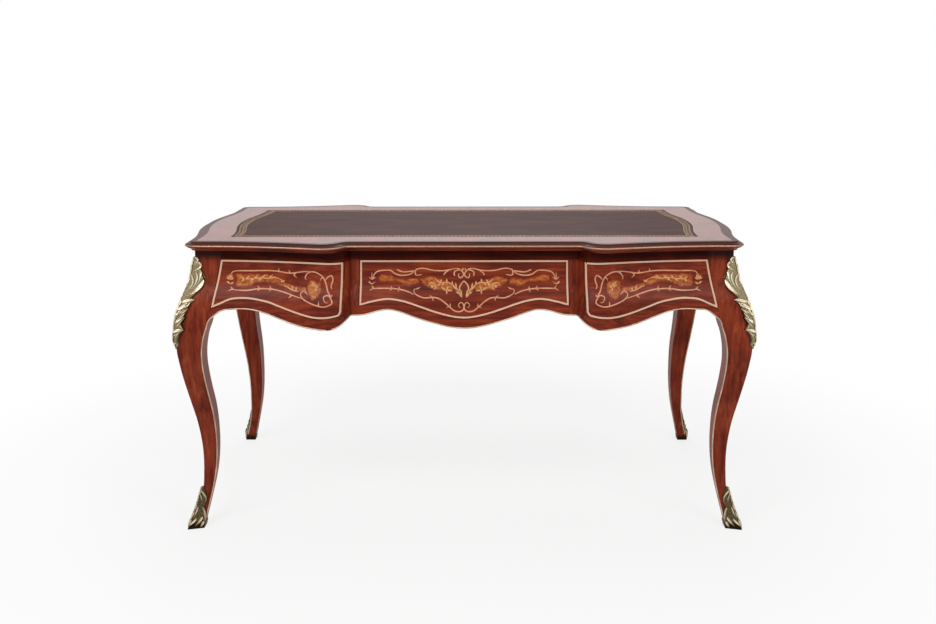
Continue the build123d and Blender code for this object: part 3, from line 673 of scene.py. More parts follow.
# %% Side drawer drawing
side_scrolls = [
    [(622.2, 279.4), (622.9, 276.9), (619.4, 272.3), (613.6, 271.9), (607.2, 275.1), (603.6, 278.7)],
    [(619, 271), (628.3, 271.9), (637.6, 273), (646.9, 271.6), (657, 270.4), (676.9, 270.5),
     (694.4, 270.9), (697.6, 275.5)],
    [(596, 289.1), (596.9, 285.9), (595.1, 279.4), (596.9, 275.5), (601.1, 278), (602.4, 280.1)],
    [(604.4, 278.4), (602.2, 283), (600.1, 291.6), (596.9, 296.9)],
    [(600.4, 302.6), (603, 302.3), (604.7, 298), (602.2, 295.7), (599, 296.2), (596.1, 301.7),
     (597.7, 304.8), (605.4, 307), (615.4, 304.4), (624.7, 299.4), (627.7, 294.4),
     (624.4, 290.5), (622.9, 291.5)],
    [(626.9, 298.4), (636.1, 295.1), (646.9, 291.2), (657.6, 288.9), (669.7, 288.6),
     (681.1, 290.1), (692.6, 289.8), (696.1, 288.7)],
]
side_thorns = [
    [(633.3, 273), (634, 275.5), (630.8, 277.6)], [(638.3, 272.6), (639.6, 269.6)],
    [(649.7, 270.9), (649.4, 267.9)], [(596.9, 296.9), (595.4, 294.3)],
    [(604.7, 277.3), (607, 278.6), (607.4, 281.2)], [(622.9, 291.5), (620.2, 295)],
    [(609.6, 305.9), (609.6, 300.9)], [(636.9, 295.4), (639.9, 298)],
    [(657.6, 288.9), (658.6, 285.1)], [(657.6, 288.9), (659.4, 291.6)],
    [(669, 288.6), (671, 284.9)], [(669, 288.6), (671, 291.2)],
    [(696.1, 288.7), (698.5, 286)], [(696.1, 288.7), (701, 290.9)],
]
side_burrs = [
    [(647.6, 279.6), (653.8, 274.8), (662, 273.2), (680.4, 272.8), (692.3, 273.4), (692.8, 280),
     (692.3, 286), (678.8, 286.4), (671, 282.8), (661, 282.5), (653.6, 284.2), (646.4, 286.6),
     (643.8, 284.6)],
    [(609.2, 280.8), (618.5, 279.6), (621.4, 286), (621, 293), (617, 300.6), (612.4, 299.4),
     (607.2, 293), (606, 285.4)],
    [(646.5, 285.2), (642, 287.6), (634, 290.2), (626, 293), (621.6, 293.6), (622, 287),
     (628, 286.4), (636, 284.2), (642.6, 282), (646.2, 281)],
]
side_branches = [
    [(629.7, 291.4), (635.9, 289.9), (641, 286.9), (644.7, 285.4)],
    [(647.7, 279.2), (653.6, 277.1), (660.3, 278.1), (667.7, 277.7), (675.1, 278.3), (683.9, 279)],
]
side_leaves = [             # the root of a spray, then the tips of its leaves
    ((698.4, 279.4), [(694.6, 276.8), (696.3, 274.2), (699.2, 273.2), (701.6, 274.9), (703, 277.4)]),
    ((698.6, 283.8), [(694.9, 281.5), (702.5, 281)]),
    ((647, 281.9), [(643.3, 279.4), (647.4, 278.3)]), ((635.9, 289.9), [(636.8, 284.6)]),
    ((632.5, 290.8), [(632.2, 286.4)]), ((660.3, 278.1), [(655.2, 273.9)]),
    ((667.7, 277.7), [(662.6, 273.9)]), ((675.1, 278.3), [(670.2, 274.6)]),
    ((683.9, 279), [(678.4, 275), (688, 276.6), (687.4, 281.8)]), ((666, 278), [(671, 281)]),
    ((674, 278.3), [(679, 281.6)]), ((612.2, 287.6), [(609.6, 285.2), (613.2, 283)]),
    ((612.6, 286.8), [(617.4, 280.6)]), ((612.6, 287.4), [(617.8, 284.6)]),
    ((612.2, 287.6), [(611.6, 291.6)]),
]
side_blossoms = [(614.2, 284.6)]
print(len(side_scrolls), "scrolls on a side drawer")

# %% Centre drawer drawing, its left half
centre_scrolls = [
    [(374.4, 278.1), (376.3, 273.5), (380.6, 270.9), (391.3, 270.3), (397.5, 274.1), (403.8, 275.3),
     (411.3, 274.2), (415.6, 271.3)],
    [(398.1, 269.4), (404.4, 271.8), (411.9, 271.3), (415.9, 270.3)],
    [(423.4, 274.4), (417.5, 275), (417.5, 269.7), (425, 268.3), (435, 270.3), (446.3, 270.5),
     (457.5, 268.3), (460, 269.4)],
    [(450.4, 270), (447.2, 272.2), (445, 275)],
    [(461.1, 291), (461, 287.7), (462.5, 284.3), (465.6, 280.6)],
    [(456.2, 276), (455.5, 273.4), (456.4, 271.2), (459, 270.1), (461, 270)],
    [(456.6, 268.2), (460.6, 268.9), (463.4, 271.2), (465.5, 274.2), (467.6, 277), (469.8, 277.6),
     (471, 275.8), (470.6, 273.2)],
    [(461.9, 307.7), (459.9, 305.6), (460.8, 303.4), (462.9, 302.5), (464.6, 304), (465.3, 306.6),
     (464.9, 309.4), (462.6, 311.3), (458.6, 311.6), (454.9, 310.2), (450, 306), (445.2, 301.8),
     (440, 298.5), (433.8, 297.4), (425, 297.8), (416.6, 293.8), (415.6, 289.6), (418.4, 288.8)],
    [(371.3, 290.3), (375, 288.6), (386.9, 288.3), (397.5, 288.8), (407.5, 290.9), (415, 294.4)],
]
centre_thorns = [
    [(418.4, 288.8), (421.9, 287.3)], [(451.6, 306.5), (451.6, 302.9)],
    [(451.6, 306.5), (447.3, 307.7)], [(433.8, 297.4), (434.9, 301.3)],
    [(433, 297.5), (431.2, 294.9)], [(393.5, 288.4), (392.2, 285.5)],
    [(393.5, 288.4), (391, 290.8)], [(400.8, 289), (400.1, 286)],
    [(400.8, 289), (399.2, 292.3)], [(375, 288.4), (373, 285.4)],
    [(373.4, 279.2), (373.4, 272.1)], [(373.4, 279.2), (370.3, 277)],
    [(373.4, 279.2), (377.8, 277)], [(370.3, 281.6), (373.4, 283.8), (377.2, 281.4)],
]
centre_burrs = [
    [(380.6, 274.8), (390, 274.3), (395.4, 275.8), (401, 278), (407, 278.4), (414.4, 277.4),
     (419.8, 278.6), (420.4, 283.6), (414.6, 285), (410.6, 287.4), (403.4, 283.8),
     (397.5, 281.9), (381.9, 281.7)],
    [(421, 279.4), (427, 276.6), (433.6, 275.4), (441.3, 278.6), (449, 280.6), (455, 284),
     (455.4, 289.4), (450, 292), (441, 290.6), (433, 289), (425.5, 285.2)],
]
centre_branches = [
    [(436.2, 278.6), (441.9, 282.7), (448.3, 282.4), (451.6, 283.2), (455.8, 286.6), (460.2, 291.8)],
    [(430.2, 285.4), (431.6, 283), (434.4, 282.9), (436.7, 285.4), (437.1, 288.2), (434.9, 289.5)],
]
centre_leaves = [             # the root of a spray, then the tips of its leaves
    ((464.4, 270.8), [(464.6, 267.4)]), ((463.8, 297.9), [(459.4, 290.2)]),
    ((463.6, 296.6), [(462.2, 288.6)]), ((461.4, 293.2), [(456.6, 285)]),
    ((460, 291.4), [(452.6, 282.6)]), ((458.2, 287.4), [(457, 282.2)]),
    ((461.4, 294), [(456.8, 290.8)]), ((448.3, 282.4), [(448.6, 278.2)]),
    ((441.9, 282.7), [(438.4, 286.2), (443.6, 279)]),
    ((447.6, 290.2), [(442.2, 286.2), (451, 285.8), (454.3, 291.5), (448.1, 294.6)]),
    ((454.2, 284.8), [(453.8, 280.4)]), ((445.4, 282.6), [(443, 285.4)]),
]
centre_blossoms = [(433.6, 286.2)]
CENTRE_ORNAMENT_PX = (465.5, 289)      # the line about which the drawing is mirrored
print(2 * len(centre_scrolls), "scrolls on the centre drawer")

# %% [markdown]
# ### Woods of the marquetry
# Boxwood is pale and even under the red polish, satinwood is golden, and the burr
# is a dark swirl. Each cut piece is dipped in hot sand at its edge, which scorches
# it and gives the flat picture its relief: an attribute that falls off towards the
# outline carries that shade.

# %% Marquetry materials
SCORCH = [(0.0, "#8f5a44"), (0.5, "#d9b096"), (1.0, "#ffffff")]


def marquetry_wood(name, stops, figure_mm, swirl):
    """A cut veneer, scorched at its outline by hot sand."""
    material, tree, shader, place = new_material(name, Roughness=0.38, Specular_IOR_Level=0.25)
    colour = clouded(tree, place, figure_mm, stops, Detail=4.0, Roughness=0.6, Distortion=swirl)
    inside = node(tree, "ShaderNodeAttribute", attribute_name="inside").outputs["Fac"]
    scorch = node(tree, "ShaderNodeValToRGB", [(0, inside)], stops=SCORCH)
    shaded = node(tree, "ShaderNodeMix", [(COLOUR_A, colour), (COLOUR_B, scorch)], **MULTIPLY)
    feed(shader, [("Base Color", shaded.outputs[COLOUR_OUT])])
    return material


boxwood = marquetry_wood("boxwood_scrollwork", [(0.3, "#cf8662"), (0.7, "#eeb28e")],
                         figure_mm=14, swirl=0.2)
satinwood = marquetry_wood("satinwood_foliage", [(0.3, "#c98c54"), (0.5, "#e4b078"),
                                                 (0.75, "#f2cd9a")], figure_mm=6, swirl=0.6)
burr = marquetry_wood("burr_walnut", [(0.3, "#7a3413"), (0.43, "#a04a1c"), (0.55, "#bc662a"),
                                      (0.7, "#d68c4a")], figure_mm=15, swirl=1.2)
print("three marquetry woods")

# %% Cut shapes
RIM_CLEARANCE = 0.4            # of a cell, kept free of grid points along an outline
TOUCHING = 1e-7                # metres within which a triangulation joins points
LEAF_ROWS = (0.12, 0.3, 0.5, 0.7, 0.86)
NOTCH = 0.28                   # depth of the notches in a blossom, of its radius


def lay_patch(made, tree, outline, lift, shade, cell=5 * MM, rim=0.0):
    """Adds a closed sheet of veneer with a flat outline, laid on the front.

    Its attribute "inside" goes from rim at the outline to 1 within the shade's width.
    """
    inside = attribute(made, "inside")
    low = Vector((min(p.x for p in outline), min(p.y for p in outline)))
    high = Vector((max(p.x for p in outline), max(p.y for p in outline)))

    def depth(p):
        """How far a point is from the outline."""
        nearest = 1.0
        for a, b in zip(outline, outline[1:] + outline[:1]):
            along = max(0.0, min(1.0, (p - a).dot(b - a) / max((b - a).length_squared, 1e-12)))
            nearest = min(nearest, (p - a.lerp(b, along)).length)
        return nearest

    grid = [Vector((low.x + i * cell, low.y + j * cell))
            for i in range(1, int((high.x - low.x) / cell) + 1)
            for j in range(1, int((high.y - low.y) / cell) + 1)]
    field = outline + [p for p in grid if depth(p) > RIM_CLEARANCE * cell]
    border = [list(range(len(outline)))]
    points, _, faces, *_ = delaunay_2d_cdt(field, [], border, 1, TOUCHING)
    upper, lower = {}, {}
    for i in sorted({i for face in faces for i in face}):
        share = rim + (1 - rim) * min(1.0, depth(points[i]) / shade)
        for layer, height in ((upper, lift), (lower, -INLAY_DEPTH)):
            layer[i] = made.verts.new(on_front(tree, points[i], height))
            layer[i][inside] = share
    for face in faces:
        made.faces.new([upper[i] for i in face])
        made.faces.new([lower[i] for i in reversed(face)])
    sides = dict.fromkeys((a, b) for face in faces for a, b in zip(face, face[1:] + face[:1]))
    for a, b in sides:
        if (b, a) not in sides:
            made.faces.new((upper[a], upper[b], lower[b], lower[a]))


def leaf_outline(root, tip, width, bend=0.0):
    """A pointed leaf from root to tip; bend throws its middle to one side."""
    axis = tip - root
    side = Vector((-axis.y, axis.x)).normalized()
    rows = [(root.lerp(tip, t) + side * bend * sin(pi * t), sin(pi * t ** 0.8) * width / 2)
            for t in LEAF_ROWS]
    return [root] + [m + side * w for m, w in rows] + [tip] + [m - side * w
                                                               for m, w in rows[::-1]]


def blossom_outline(centre, radius, petals=6):
    """A small round flower with notches between its petals."""
    steps = petals * 4
    return [centre + Vector((cos(a), sin(a))) * radius
            * (1 - NOTCH + NOTCH * abs(sin(petals * a / 2)))
            for a in (2 * pi * i / steps for i in range(steps))]


# %% Lay one half of a drawing
SCROLL_WIDTH, THORN_WIDTH, BRANCH_WIDTH, LEAF_WIDTH = 3.3 * MM, 4.6 * MM, 2.3 * MM, 4.8 * MM
LEAF_BEND = MM
LINE_STEP, BURR_STEP = 1.6 * MM, 3 * MM
LEAF_CELL, BLOSSOM_CELL = 1.6 * MM, 2 * MM
LEAF_RIM, BLOSSOM_RIM = 0.55, 0.45             # these are scorched less than the burr
BLOSSOM_RADIUS = 5.0 * MM
BURR_SHADE, LEAF_SHADE = 5 * MM, 1.4 * MM      # how far the hot sand scorches in
BURR_LIFT, SCROLL_LIFT, BRANCH_LIFT, LEAF_LIFT = 0.10 * MM, 0.18 * MM, 0.20 * MM, 0.26 * MM


def tapered(width, blunt=0.5):
    """Half width of a scroll: full in its middle, fine at its ends."""
    return lambda t: width / 2 * (blunt + (1 - blunt) * min(1.0, 6 * t, 6 * (1 - t)))


def pointed(width):
    """Half width of a thorn: broad at its root, pointed at its tip."""
    return lambda t: width / 2 * (1.02 - t)


def lay_marquetry(body, sight, sides, middle, scrolls, thorns, burrs, branches, leaves,
                  blossoms):
    """Lays burrs, scrolls and foliage on a drawer front, once for each side."""
    tree = fronts[body]
    panel, strap, spray = bmesh.new(), bmesh.new(), bmesh.new()
    bands = ((strap, scrolls, tapered(SCROLL_WIDTH), SCROLL_LIFT),
             (strap, thorns, pointed(THORN_WIDTH), SCROLL_LIFT),
             (spray, branches, tapered(BRANCH_WIDTH), BRANCH_LIFT))

    def drawn(side, *pixels):
        """Picture points as flat places on one side, from the drawing's middle."""
        points = [sighted(sight, p) for p in pixels]
        return [Vector((side * (p.x - middle), p.y)) for p in points]

    for side in sides:
        for pixels in burrs:
            outline = smooth_line(drawn(side, *pixels), BURR_STEP, closed=True)
            lay_patch(panel, tree, outline, BURR_LIFT, BURR_SHADE)
        for made, lines, half_width, lift in bands:
            for pixels in lines:
                line = smooth_line(drawn(side, *pixels), LINE_STEP)
                lay_band(made, tree, line, half_width, lift=lift)
        for root_pixel, tip_pixels in leaves:
            for pixel in tip_pixels:
                root, tip = drawn(side, root_pixel, pixel)
                outline = leaf_outline(root, tip, LEAF_WIDTH, side * LEAF_BEND)
                lay_patch(spray, tree, outline, LEAF_LIFT, LEAF_SHADE, LEAF_CELL, LEAF_RIM)
        for centre in drawn(side, *blossoms):
            outline = blossom_outline(centre, BLOSSOM_RADIUS)
            lay_patch(spray, tree, outline, LEAF_LIFT, LEAF_SHADE, BLOSSOM_CELL, BLOSSOM_RIM)
    add_piece(f"burr_panels_{body}", panel, body, burr)
    add_piece(f"scrollwork_{body}", strap, body, boxwood)
    add_piece(f"foliage_{body}", spray, body, satinwood)


# %% Lay the marquetry
side_drawing = (side_scrolls, side_thorns, side_burrs, side_branches, side_leaves, side_blossoms)
centre_drawing = (centre_scrolls, centre_thorns, centre_burrs, centre_branches, centre_leaves,
                  centre_blossoms)
right_front, centre_front = fronts["drawer_right"], fronts["drawer_center"]
centre_middle = sighted(centre_front, CENTRE_ORNAMENT_PX).x
lay_marquetry("drawer_right", right_front, (1,), 0.0, *side_drawing)
lay_marquetry("drawer_left", right_front, (-1,), 0.0, *side_drawing)
lay_marquetry("drawer_center", centre_front, (1, -1), centre_middle, *centre_drawing)

# %% [markdown]
# ## Twisted rope mouldings
# Two rope mouldings run round the desk: a stout gilt one under the arris of the
# top, and a fine one that covers the raw lower edge of the aprons and goes on down
# the inner arris of every leg. A rope is strands laid round each other, so its
# section is a lobed star that turns as it travels. Geometry Nodes do that for a
# path of any shape: even points, a tilt that grows with the length already run,
# and a star swept along it.

# %% Node trees that follow a path
STRANDS = 4


def path_tree(name, inputs):
    """A geometry node tree that evens out a path; inputs maps further ones to kinds.

    Returns the tree, its inputs' sockets and the even path.
    """
    tree = bpy.data.node_groups.new(name, "GeometryNodeTree")
    kinds = {"Path": "Geometry", **inputs, "Step": "Float", "Finish": "Material"}
    for title, kind in kinds.items():
        tree.interface.new_socket(title, in_out="INPUT", socket_type="NodeSocket" + kind)
    tree.interface.new_socket("Made", in_out="OUTPUT", socket_type="NodeSocketGeometry")
    given = node(tree, "NodeGroupInput").outputs
    even = node(tree, "GeometryNodeResampleCurve", [("Curve", given["Path"]),
                                                    ("Length", given["Step"])], mode="LENGTH")
    return tree, given, even


def end_tree(tree, given, made):
    """Ends such a tree: its geometry becomes one mesh with the finish."""
    single = node(tree, "GeometryNodeRealizeInstances", [(0, made)])
    finished = node(tree, "GeometryNodeSetMaterial", [("Geometry", single),
                                                      ("Material", given["Finish"])])
    node(tree, "NodeGroupOutput", [(0, finished)])
    return tree


def rope_tree():
    """Lays a twisted rope along paths."""
    tree, given, even = path_tree("twisted_rope", {"Radius": "Float", "Valley": "Float",
                                                   "Lay": "Float"})
    run = node(tree, "GeometryNodeSplineParameter").outputs["Length"]
    turns = node(tree, "ShaderNodeMath", [(0, run), (1, given["Lay"])], operation="DIVIDE")
    angle = node(tree, "ShaderNodeMath", [(0, turns), (1, 2 * pi)], operation="MULTIPLY")
    tilted = node(tree, "GeometryNodeSetCurveTilt", [("Curve", even), ("Tilt", angle)])
    star = node(tree, "GeometryNodeCurveStar", [("Inner Radius", given["Valley"]),
                                                ("Outer Radius", given["Radius"])], Points=STRANDS)
    swept = node(tree, "GeometryNodeCurveToMesh", [("Curve", tilted), ("Profile Curve", star)],
                 Fill_Caps=True)
    return end_tree(tree, given, swept)


def stamp_tree():
    """Sets a stamped figure at even steps along paths, turned with them."""
    tree, given, even = path_tree("stamped_roll", {"Figure": "Object"})
    ahead = node(tree, "GeometryNodeInputTangent")
    turn = node(tree, "FunctionNodeAlignRotationToVector", [("Vector", ahead)], axis="X",
                pivot_axis="Z")
    figure = node(tree, "GeometryNodeObjectInfo", [("Object", given["Figure"])])
    placed = node(tree, "GeometryNodeInstanceOnPoints", [("Points", even), ("Rotation", turn),
                                                         ("Instance", figure.outputs["Geometry"])])
    return end_tree(tree, given, placed)


def run_along(name, tree, lines, inputs, body):
    """Runs a node tree along (points, closed) lines and keeps the mesh as a piece."""
    curve = bpy.data.curves.new(name + "_path", "CURVE")
    curve.dimensions = "3D"
    for points, closed in lines:
        spline = curve.splines.new("POLY")
        spline.points.add(len(points) - 1)
        for place, point in zip(spline.points, points):
            place.co = (*point, 1.0)
        spline.use_cyclic_u = closed
    path = bpy.data.objects.new(name + "_path", curve)
    scene.collection.objects.link(path)
    modifier = path.modifiers.new("made", "NODES")
    modifier.node_group = tree
    for socket in tree.interface.items_tree:
        if socket.in_out == "INPUT" and socket.name in inputs:
            modifier[socket.identifier] = inputs[socket.name]
    evaluated = path.evaluated_get(bpy.context.evaluated_depsgraph_get())
    mesh = bpy.data.meshes.new_from_object(evaluated)
    path.modifiers.remove(modifier)
    bpy.data.objects.remove(path)
    return add_piece(name, mesh, body)


# %% [markdown]
# ### Bronze and its recesses
# The mounts are cast brass, chased, dipped in acid and thinly gilded. Wax and
# dust stay in the hollows and turn near black. The crests are rubbed bright, and
# their near-white tone is partly a painted highlight. An attribute called crest,
# 0 in the hollows and 1 on top, carries that.

# %% Bronze materials
BRONZE_GRAIN_MM = 2.5
UNEVEN = 0.14                  # how far the grain moves the tone to each side


def gilt_bronze(name, stops, roughness, by_crest=True):
    """Old gilding over brass: bright on the crests, dark in the hollows."""
    material, tree, shader, place = new_material(name, Metallic=1.0, Roughness=roughness)
    grain = node(tree, "ShaderNodeTexNoise", [("Vector", place)],
                 Scale=1 / (BRONZE_GRAIN_MM * MM), Detail=3.0)
    factor = grain
    if by_crest:
        height = node(tree, "ShaderNodeAttribute", attribute_name="crest").outputs["Fac"]
        spread = node(tree, "ShaderNodeMapRange", [("Value", grain)], From_Min=0.3, From_Max=0.7,
                      To_Min=-UNEVEN, To_Max=UNEVEN)
        factor = node(tree, "ShaderNodeMath", [(0, height), (1, spread)], operation="ADD")
    colour = node(tree, "ShaderNodeValToRGB", [(0, factor)], stops=stops)
    dress(tree, shader, colour, grain, depth_mm=0.12, strength=0.4)
    return material


# The crests' near-white tone is partly a painted highlight.
crest_bronze = gilt_bronze("gilt_bronze_chased", [(0.0, "#2b2218"), (0.22, "#64573f"),
                                                  (0.5, "#9a8b6d"), (1.0, "#efe2c6")], 0.36)
ground_bronze = gilt_bronze("gilt_bronze_hollows", [(0.35, "#332a1b"), (0.65, "#6e6149")], 0.46,
                            by_crest=False)
# The sabots' chasing gets a copy with darker crests.
sabot_bronze = gilt_bronze("gilt_bronze_worn", [(0.0, "#231b11"), (0.22, "#53482f"),
                                               (0.5, "#84755a"), (1.0, "#d2c4a6")], 0.42)
rope_bronze = gilt_bronze("gilt_bronze_rope", [(0.35, "#93695a"), (0.65, "#c49a86")], 0.4,
                          by_crest=False)
print("chased, hollow, worn and rope bronze")

# %% Dark collar of the sabots
# The lowest finger's breadth of the sabots is darker towards the bottom.
COLLAR_DARK, COLLAR_CLEAR = 12 * MM, 21 * MM
tint_by_height(ground_bronze, "#80695a", COLLAR_DARK, COLLAR_CLEAR)
print("collar up to", round(COLLAR_CLEAR / MM), "mm")

# %% Pale brass
PALE_BRASS_CLOUD_MM = 30

pale_brass, tree, shader, place = new_material("pale_rope_brass", Metallic=0.55, Roughness=0.42)
tone = clouded(tree, place, PALE_BRASS_CLOUD_MM, [(0.3, "#bf9c82"), (0.7, "#e6caae")], Detail=2.0)
feed(shader, [("Base Color", tone)])
print("pale brass for the fine rope")

# %% Rope under the arris of the top
ROPE_RADIUS, ROPE_VALLEY = 3.1 * MM, 2.0 * MM
ROPE_LAY = 24 * MM             # length of one turn
ROPE_STEP = 1.6 * MM
WELD, ON_CUT = 0.01 * MM, 0.001 * MM


def length_of(line):
    """Length of an open line; a loop is given with its first point again at its end."""
    return sum((b - a).length for a, b in zip(line, line[1:]))


def section_loops(name, height):
    """Closed outlines of a solid cut level at a height, the longest first.

    They run anticlockwise from the cut's first edge, so each run gives the same.
    """
    cut = bmesh.new()
    cut.from_mesh(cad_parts[name].data)
    bmesh.ops.remove_doubles(cut, verts=cut.verts, dist=WELD)
    found = bmesh.ops.bisect_plane(cut, geom=cut.verts[:] + cut.edges[:] + cut.faces[:],
                                   dist=ON_CUT, plane_co=(0, 0, height), plane_no=(0, 0, 1))
    edges = [e for e in found["geom_cut"] if isinstance(e, bmesh.types.BMEdge)]
    loops = []
    while edges:
        step = edges.pop(0)
        loop, end = [step.verts[0].co.copy()], step.verts[1]
        while step:
            loop.append(end.co.copy())
            step = next((e for e in end.link_edges if e in edges), None)
            if step:
                edges.remove(step)
                end = step.other_vert(end)
        loop = loop[:-1]
        area = sum(a.x * b.y - b.x * a.y for a, b in zip(loop, loop[1:] + loop[:1]))
        loops.append(loop if area > 0 else loop[::-1])
    cut.free()
    return sorted(loops, key=lambda loop: length_of(loop + loop[:1]), reverse=True)


def inset(loop, distance):
    """A level anticlockwise loop moved towards its inside."""
    moved = []
    for i, point in enumerate(loop):
        ahead = (loop[(i + 1) % len(loop)] - point).normalized()
        behind = (point - loop[i - 1]).normalized()
        side = Vector((-ahead.y - behind.y, ahead.x + behind.x, 0))
        moved.append(point + side * (2 * distance / max(side.length_squared, 1.0)))
    return moved


rope = rope_tree()
outer_loop = section_loops("top_edge_rope", rope_middle)[0]
groove = rope_high.z - rope_low.z      # the rope lies at the bottom of its groove
top_rope = run_along("top_rope", rope, [(inset(outer_loop, groove - ROPE_RADIUS), True)],
                     {"Radius": ROPE_RADIUS, "Valley": ROPE_VALLEY, "Lay": ROPE_LAY,
                      "Step": ROPE_STEP, "Finish": rope_bronze}, "carcass")
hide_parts("top_edge_rope")

# %% Rope along the aprons and legs
ARCH_CENTRE_Z = 0.30           # every arch can be seen whole from this height
ARCH_FOOT_Z = 0.018            # the rope ends on the collar of the foot mount
FRONT_ARCH_HALF, END_ARCH_HALF = 0.72, 0.345
EDGE_RADIUS, EDGE_VALLEY, EDGE_LAY = 2.1 * MM, 1.5 * MM, 14 * MM
ARCH_STEPS = 420
SCAN_FROM, SCAN_STEP, SCANS = 0.05, 0.01, 100          # the edge is first found roughly,
HALVINGS = 12                                          # and then closed in on
PAST_EDGE = 0.3 * MM


def arch_line(tree, half_width, look):
    """Lower edge of an arch: look takes a flat place to a ray's start and way.

    The edge is found from the middle of the arch outwards, at equal angles.
    """
    def hit(angle, distance):
        """Where a ray meets the wood, this way and far from the middle of the arch."""
        flat = Vector((0, ARCH_CENTRE_Z)) + Vector((cos(angle), sin(angle))) * distance
        return tree.ray_cast(*look(flat))[0]

    line = []
    start = atan2(ARCH_FOOT_Z - ARCH_CENTRE_Z, half_width)
    for i in range(ARCH_STEPS + 1):
        angle = start + (pi - 2 * start) * i / ARCH_STEPS
        rough = (SCAN_FROM + SCAN_STEP * k for k in range(SCANS))
        far = next(distance for distance in rough if hit(angle, distance))
        near = far - SCAN_STEP
        for _ in range(HALVINGS):
            middle = (near + far) / 2
            near, far = (near, middle) if hit(angle, middle) else (middle, far)
        inside = hit(angle, far + PAST_EDGE)
        if inside and inside.z > ARCH_FOOT_Z:
            line.append(inside)
    return line


front_edge = arch_line(surface_of("leg_front_left", "leg_front_right", "front_post_left",
                                  "front_post_right", "front_lower_rail_left",
                                  "front_lower_rail_center", "front_lower_rail_right"),
                       FRONT_ARCH_HALF,
                       lambda p: (Vector((p.x, -OUTSIDE, p.y)), Vector((0, 1, 0))))
end_edge = arch_line(surface_of("leg_front_right", "leg_back_right", "side_apron_right"),
                     END_ARCH_HALF,
                     lambda p: (Vector((OUTSIDE, p.x, p.y)), Vector((-1, 0, 0))))
for point in front_edge + end_edge:      # the rope sinks in where the knee is widest
    point.x = max(EDGE_RADIUS - reach_x, min(reach_x - EDGE_RADIUS, point.x))
    point.y = max(EDGE_RADIUS - reach_y, min(reach_y - EDGE_RADIUS, point.y))
edges = [front_edge, [Vector((p.x, -p.y, p.z)) for p in front_edge], end_edge,
         [Vector((-p.x, p.y, p.z)) for p in end_edge]]
print("arches", [round(length_of(edge), 3) for edge in edges], "m")
run_along("apron_rope", rope, [(edge, False) for edge in edges],
          {"Radius": EDGE_RADIUS, "Valley": EDGE_VALLEY, "Lay": EDGE_LAY, "Step": ROPE_STEP,
           "Finish": pale_brass}, "carcass")

# %% [markdown]
# ## Tooled leather
# The writing surface is a hide dyed a brown so deep that it is almost violet,
# waxed, and worked along its border with hot brass tools through gold leaf: pairs
# of fillets with a roll of small palmettes between them. The palmettes repeat
# along the outline, so Geometry Nodes set one stamped figure at even steps.

# %% Leather
PEBBLE_MM = 1.6
CLOUDS_PER_METRE = (7, 16, 16)         # longer along the desk, as the hide was stretched
LEATHER_TOP = leather_high.z - 0.25 * MM       # the gold still stays under the solid's top
LEATHER_RIM, RIM_DROP = 0.8 * MM, 0.5 * MM

leather, tree, shader, place = new_material("waxed_leather", Roughness=0.6, IOR=1.48,
                                            Specular_IOR_Level=0.07)
hide = node(tree, "ShaderNodeMapping", [("Vector", place)], Scale=CLOUDS_PER_METRE)
clouds = node(tree, "ShaderNodeTexNoise", [("Vector", hide)], Scale=1.0, Detail=4.0,
              Roughness=0.6)
tone = node(tree, "ShaderNodeValToRGB", [(0, clouds)],
            stops=[(0.3, "#3c211c"), (0.55, "#4b2c27"), (0.75, "#583832")])
pebbles = node(tree, "ShaderNodeTexVoronoi", [("Vector", place)], Scale=1 / (PEBBLE_MM * MM))
creases = node(tree, "ShaderNodeValToRGB", [(0, pebbles)],
               stops=[(0.0, "#ffffff"), (0.7, "#d6cdca")])
grained = node(tree, "ShaderNodeMix", [(COLOUR_A, tone), (COLOUR_B, creases)], **MULTIPLY)
dress(tree, shader, grained.outputs[COLOUR_OUT], pebbles, depth_mm=0.12, strength=0.35)


def level_ring(made, loop, height):
    """Vertices along a loop, all at one height."""
    return [made.verts.new((p.x, p.y, height)) for p in loop]


outline = section_loops("writing_leather", (leather_low.z + leather_high.z) / 2)[0]
made = bmesh.new()
skin(made, [level_ring(made, outline, leather_low.z),
            level_ring(made, outline, LEATHER_TOP - RIM_DROP),
            level_ring(made, inset(outline, LEATHER_RIM), LEATHER_TOP)])
leather_piece = add_piece("tooled_leather", made, "carcass", leather)
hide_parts("writing_leather")

# %% Gold leaf
TOOLING_DEPTH = 0.12 * MM
WEAR_MM = 5

gold_leaf, tree, shader, place = new_material("gold_leaf_tooling", Metallic=0.8, Roughness=0.45)
worn = clouded(tree, place, WEAR_MM, [(0.32, "#6e533a"), (0.62, "#bd9d68")], Detail=3.0)
feed(shader, [("Base Color", worn)])
print("gold leaf, worn every", WEAR_MM, "mm or so")

# %% Gold fillets
BORDER_IN, BORDER_OUT = 26 * MM, 9 * MM
BROAD, NARROW, FILLET_GAP = 1.3 * MM, 0.6 * MM, 3 * MM


def lay_fillet(made, loop, width):
    """A raised gold line on the leather, with its loop in the middle."""
    rings = [level_ring(made, inset(loop, side * width / 2), LEATHER_TOP + height)
             for side, height in ((-1, -TOOLING_DEPTH), (-1, TOOLING_DEPTH),
                                  (1, TOOLING_DEPTH), (1, -TOOLING_DEPTH))]
    for one, two in zip(rings, rings[1:] + rings[:1]):
        bridge(made, one, two)


made = bmesh.new()
for distance, width in ((BORDER_OUT, BROAD), (BORDER_OUT + FILLET_GAP, NARROW),
                        (BORDER_IN, BROAD), (BORDER_IN - FILLET_GAP, NARROW)):
    lay_fillet(made, inset(outline, distance), width)
add_piece("gold_fillets", made, "carcass", gold_leaf)

# %% Gold palmettes
PALMETTE_STEP = 11 * MM
PETALS = [(-70, 3.4), (-36, 4.4), (0, 5.2), (36, 4.4), (70, 3.4), (140, 3.0), (-140, 3.0)]
PETAL_WIDTH = 1.5 * MM
PETAL_ROOT = 0.12              # where a petal starts, of its length


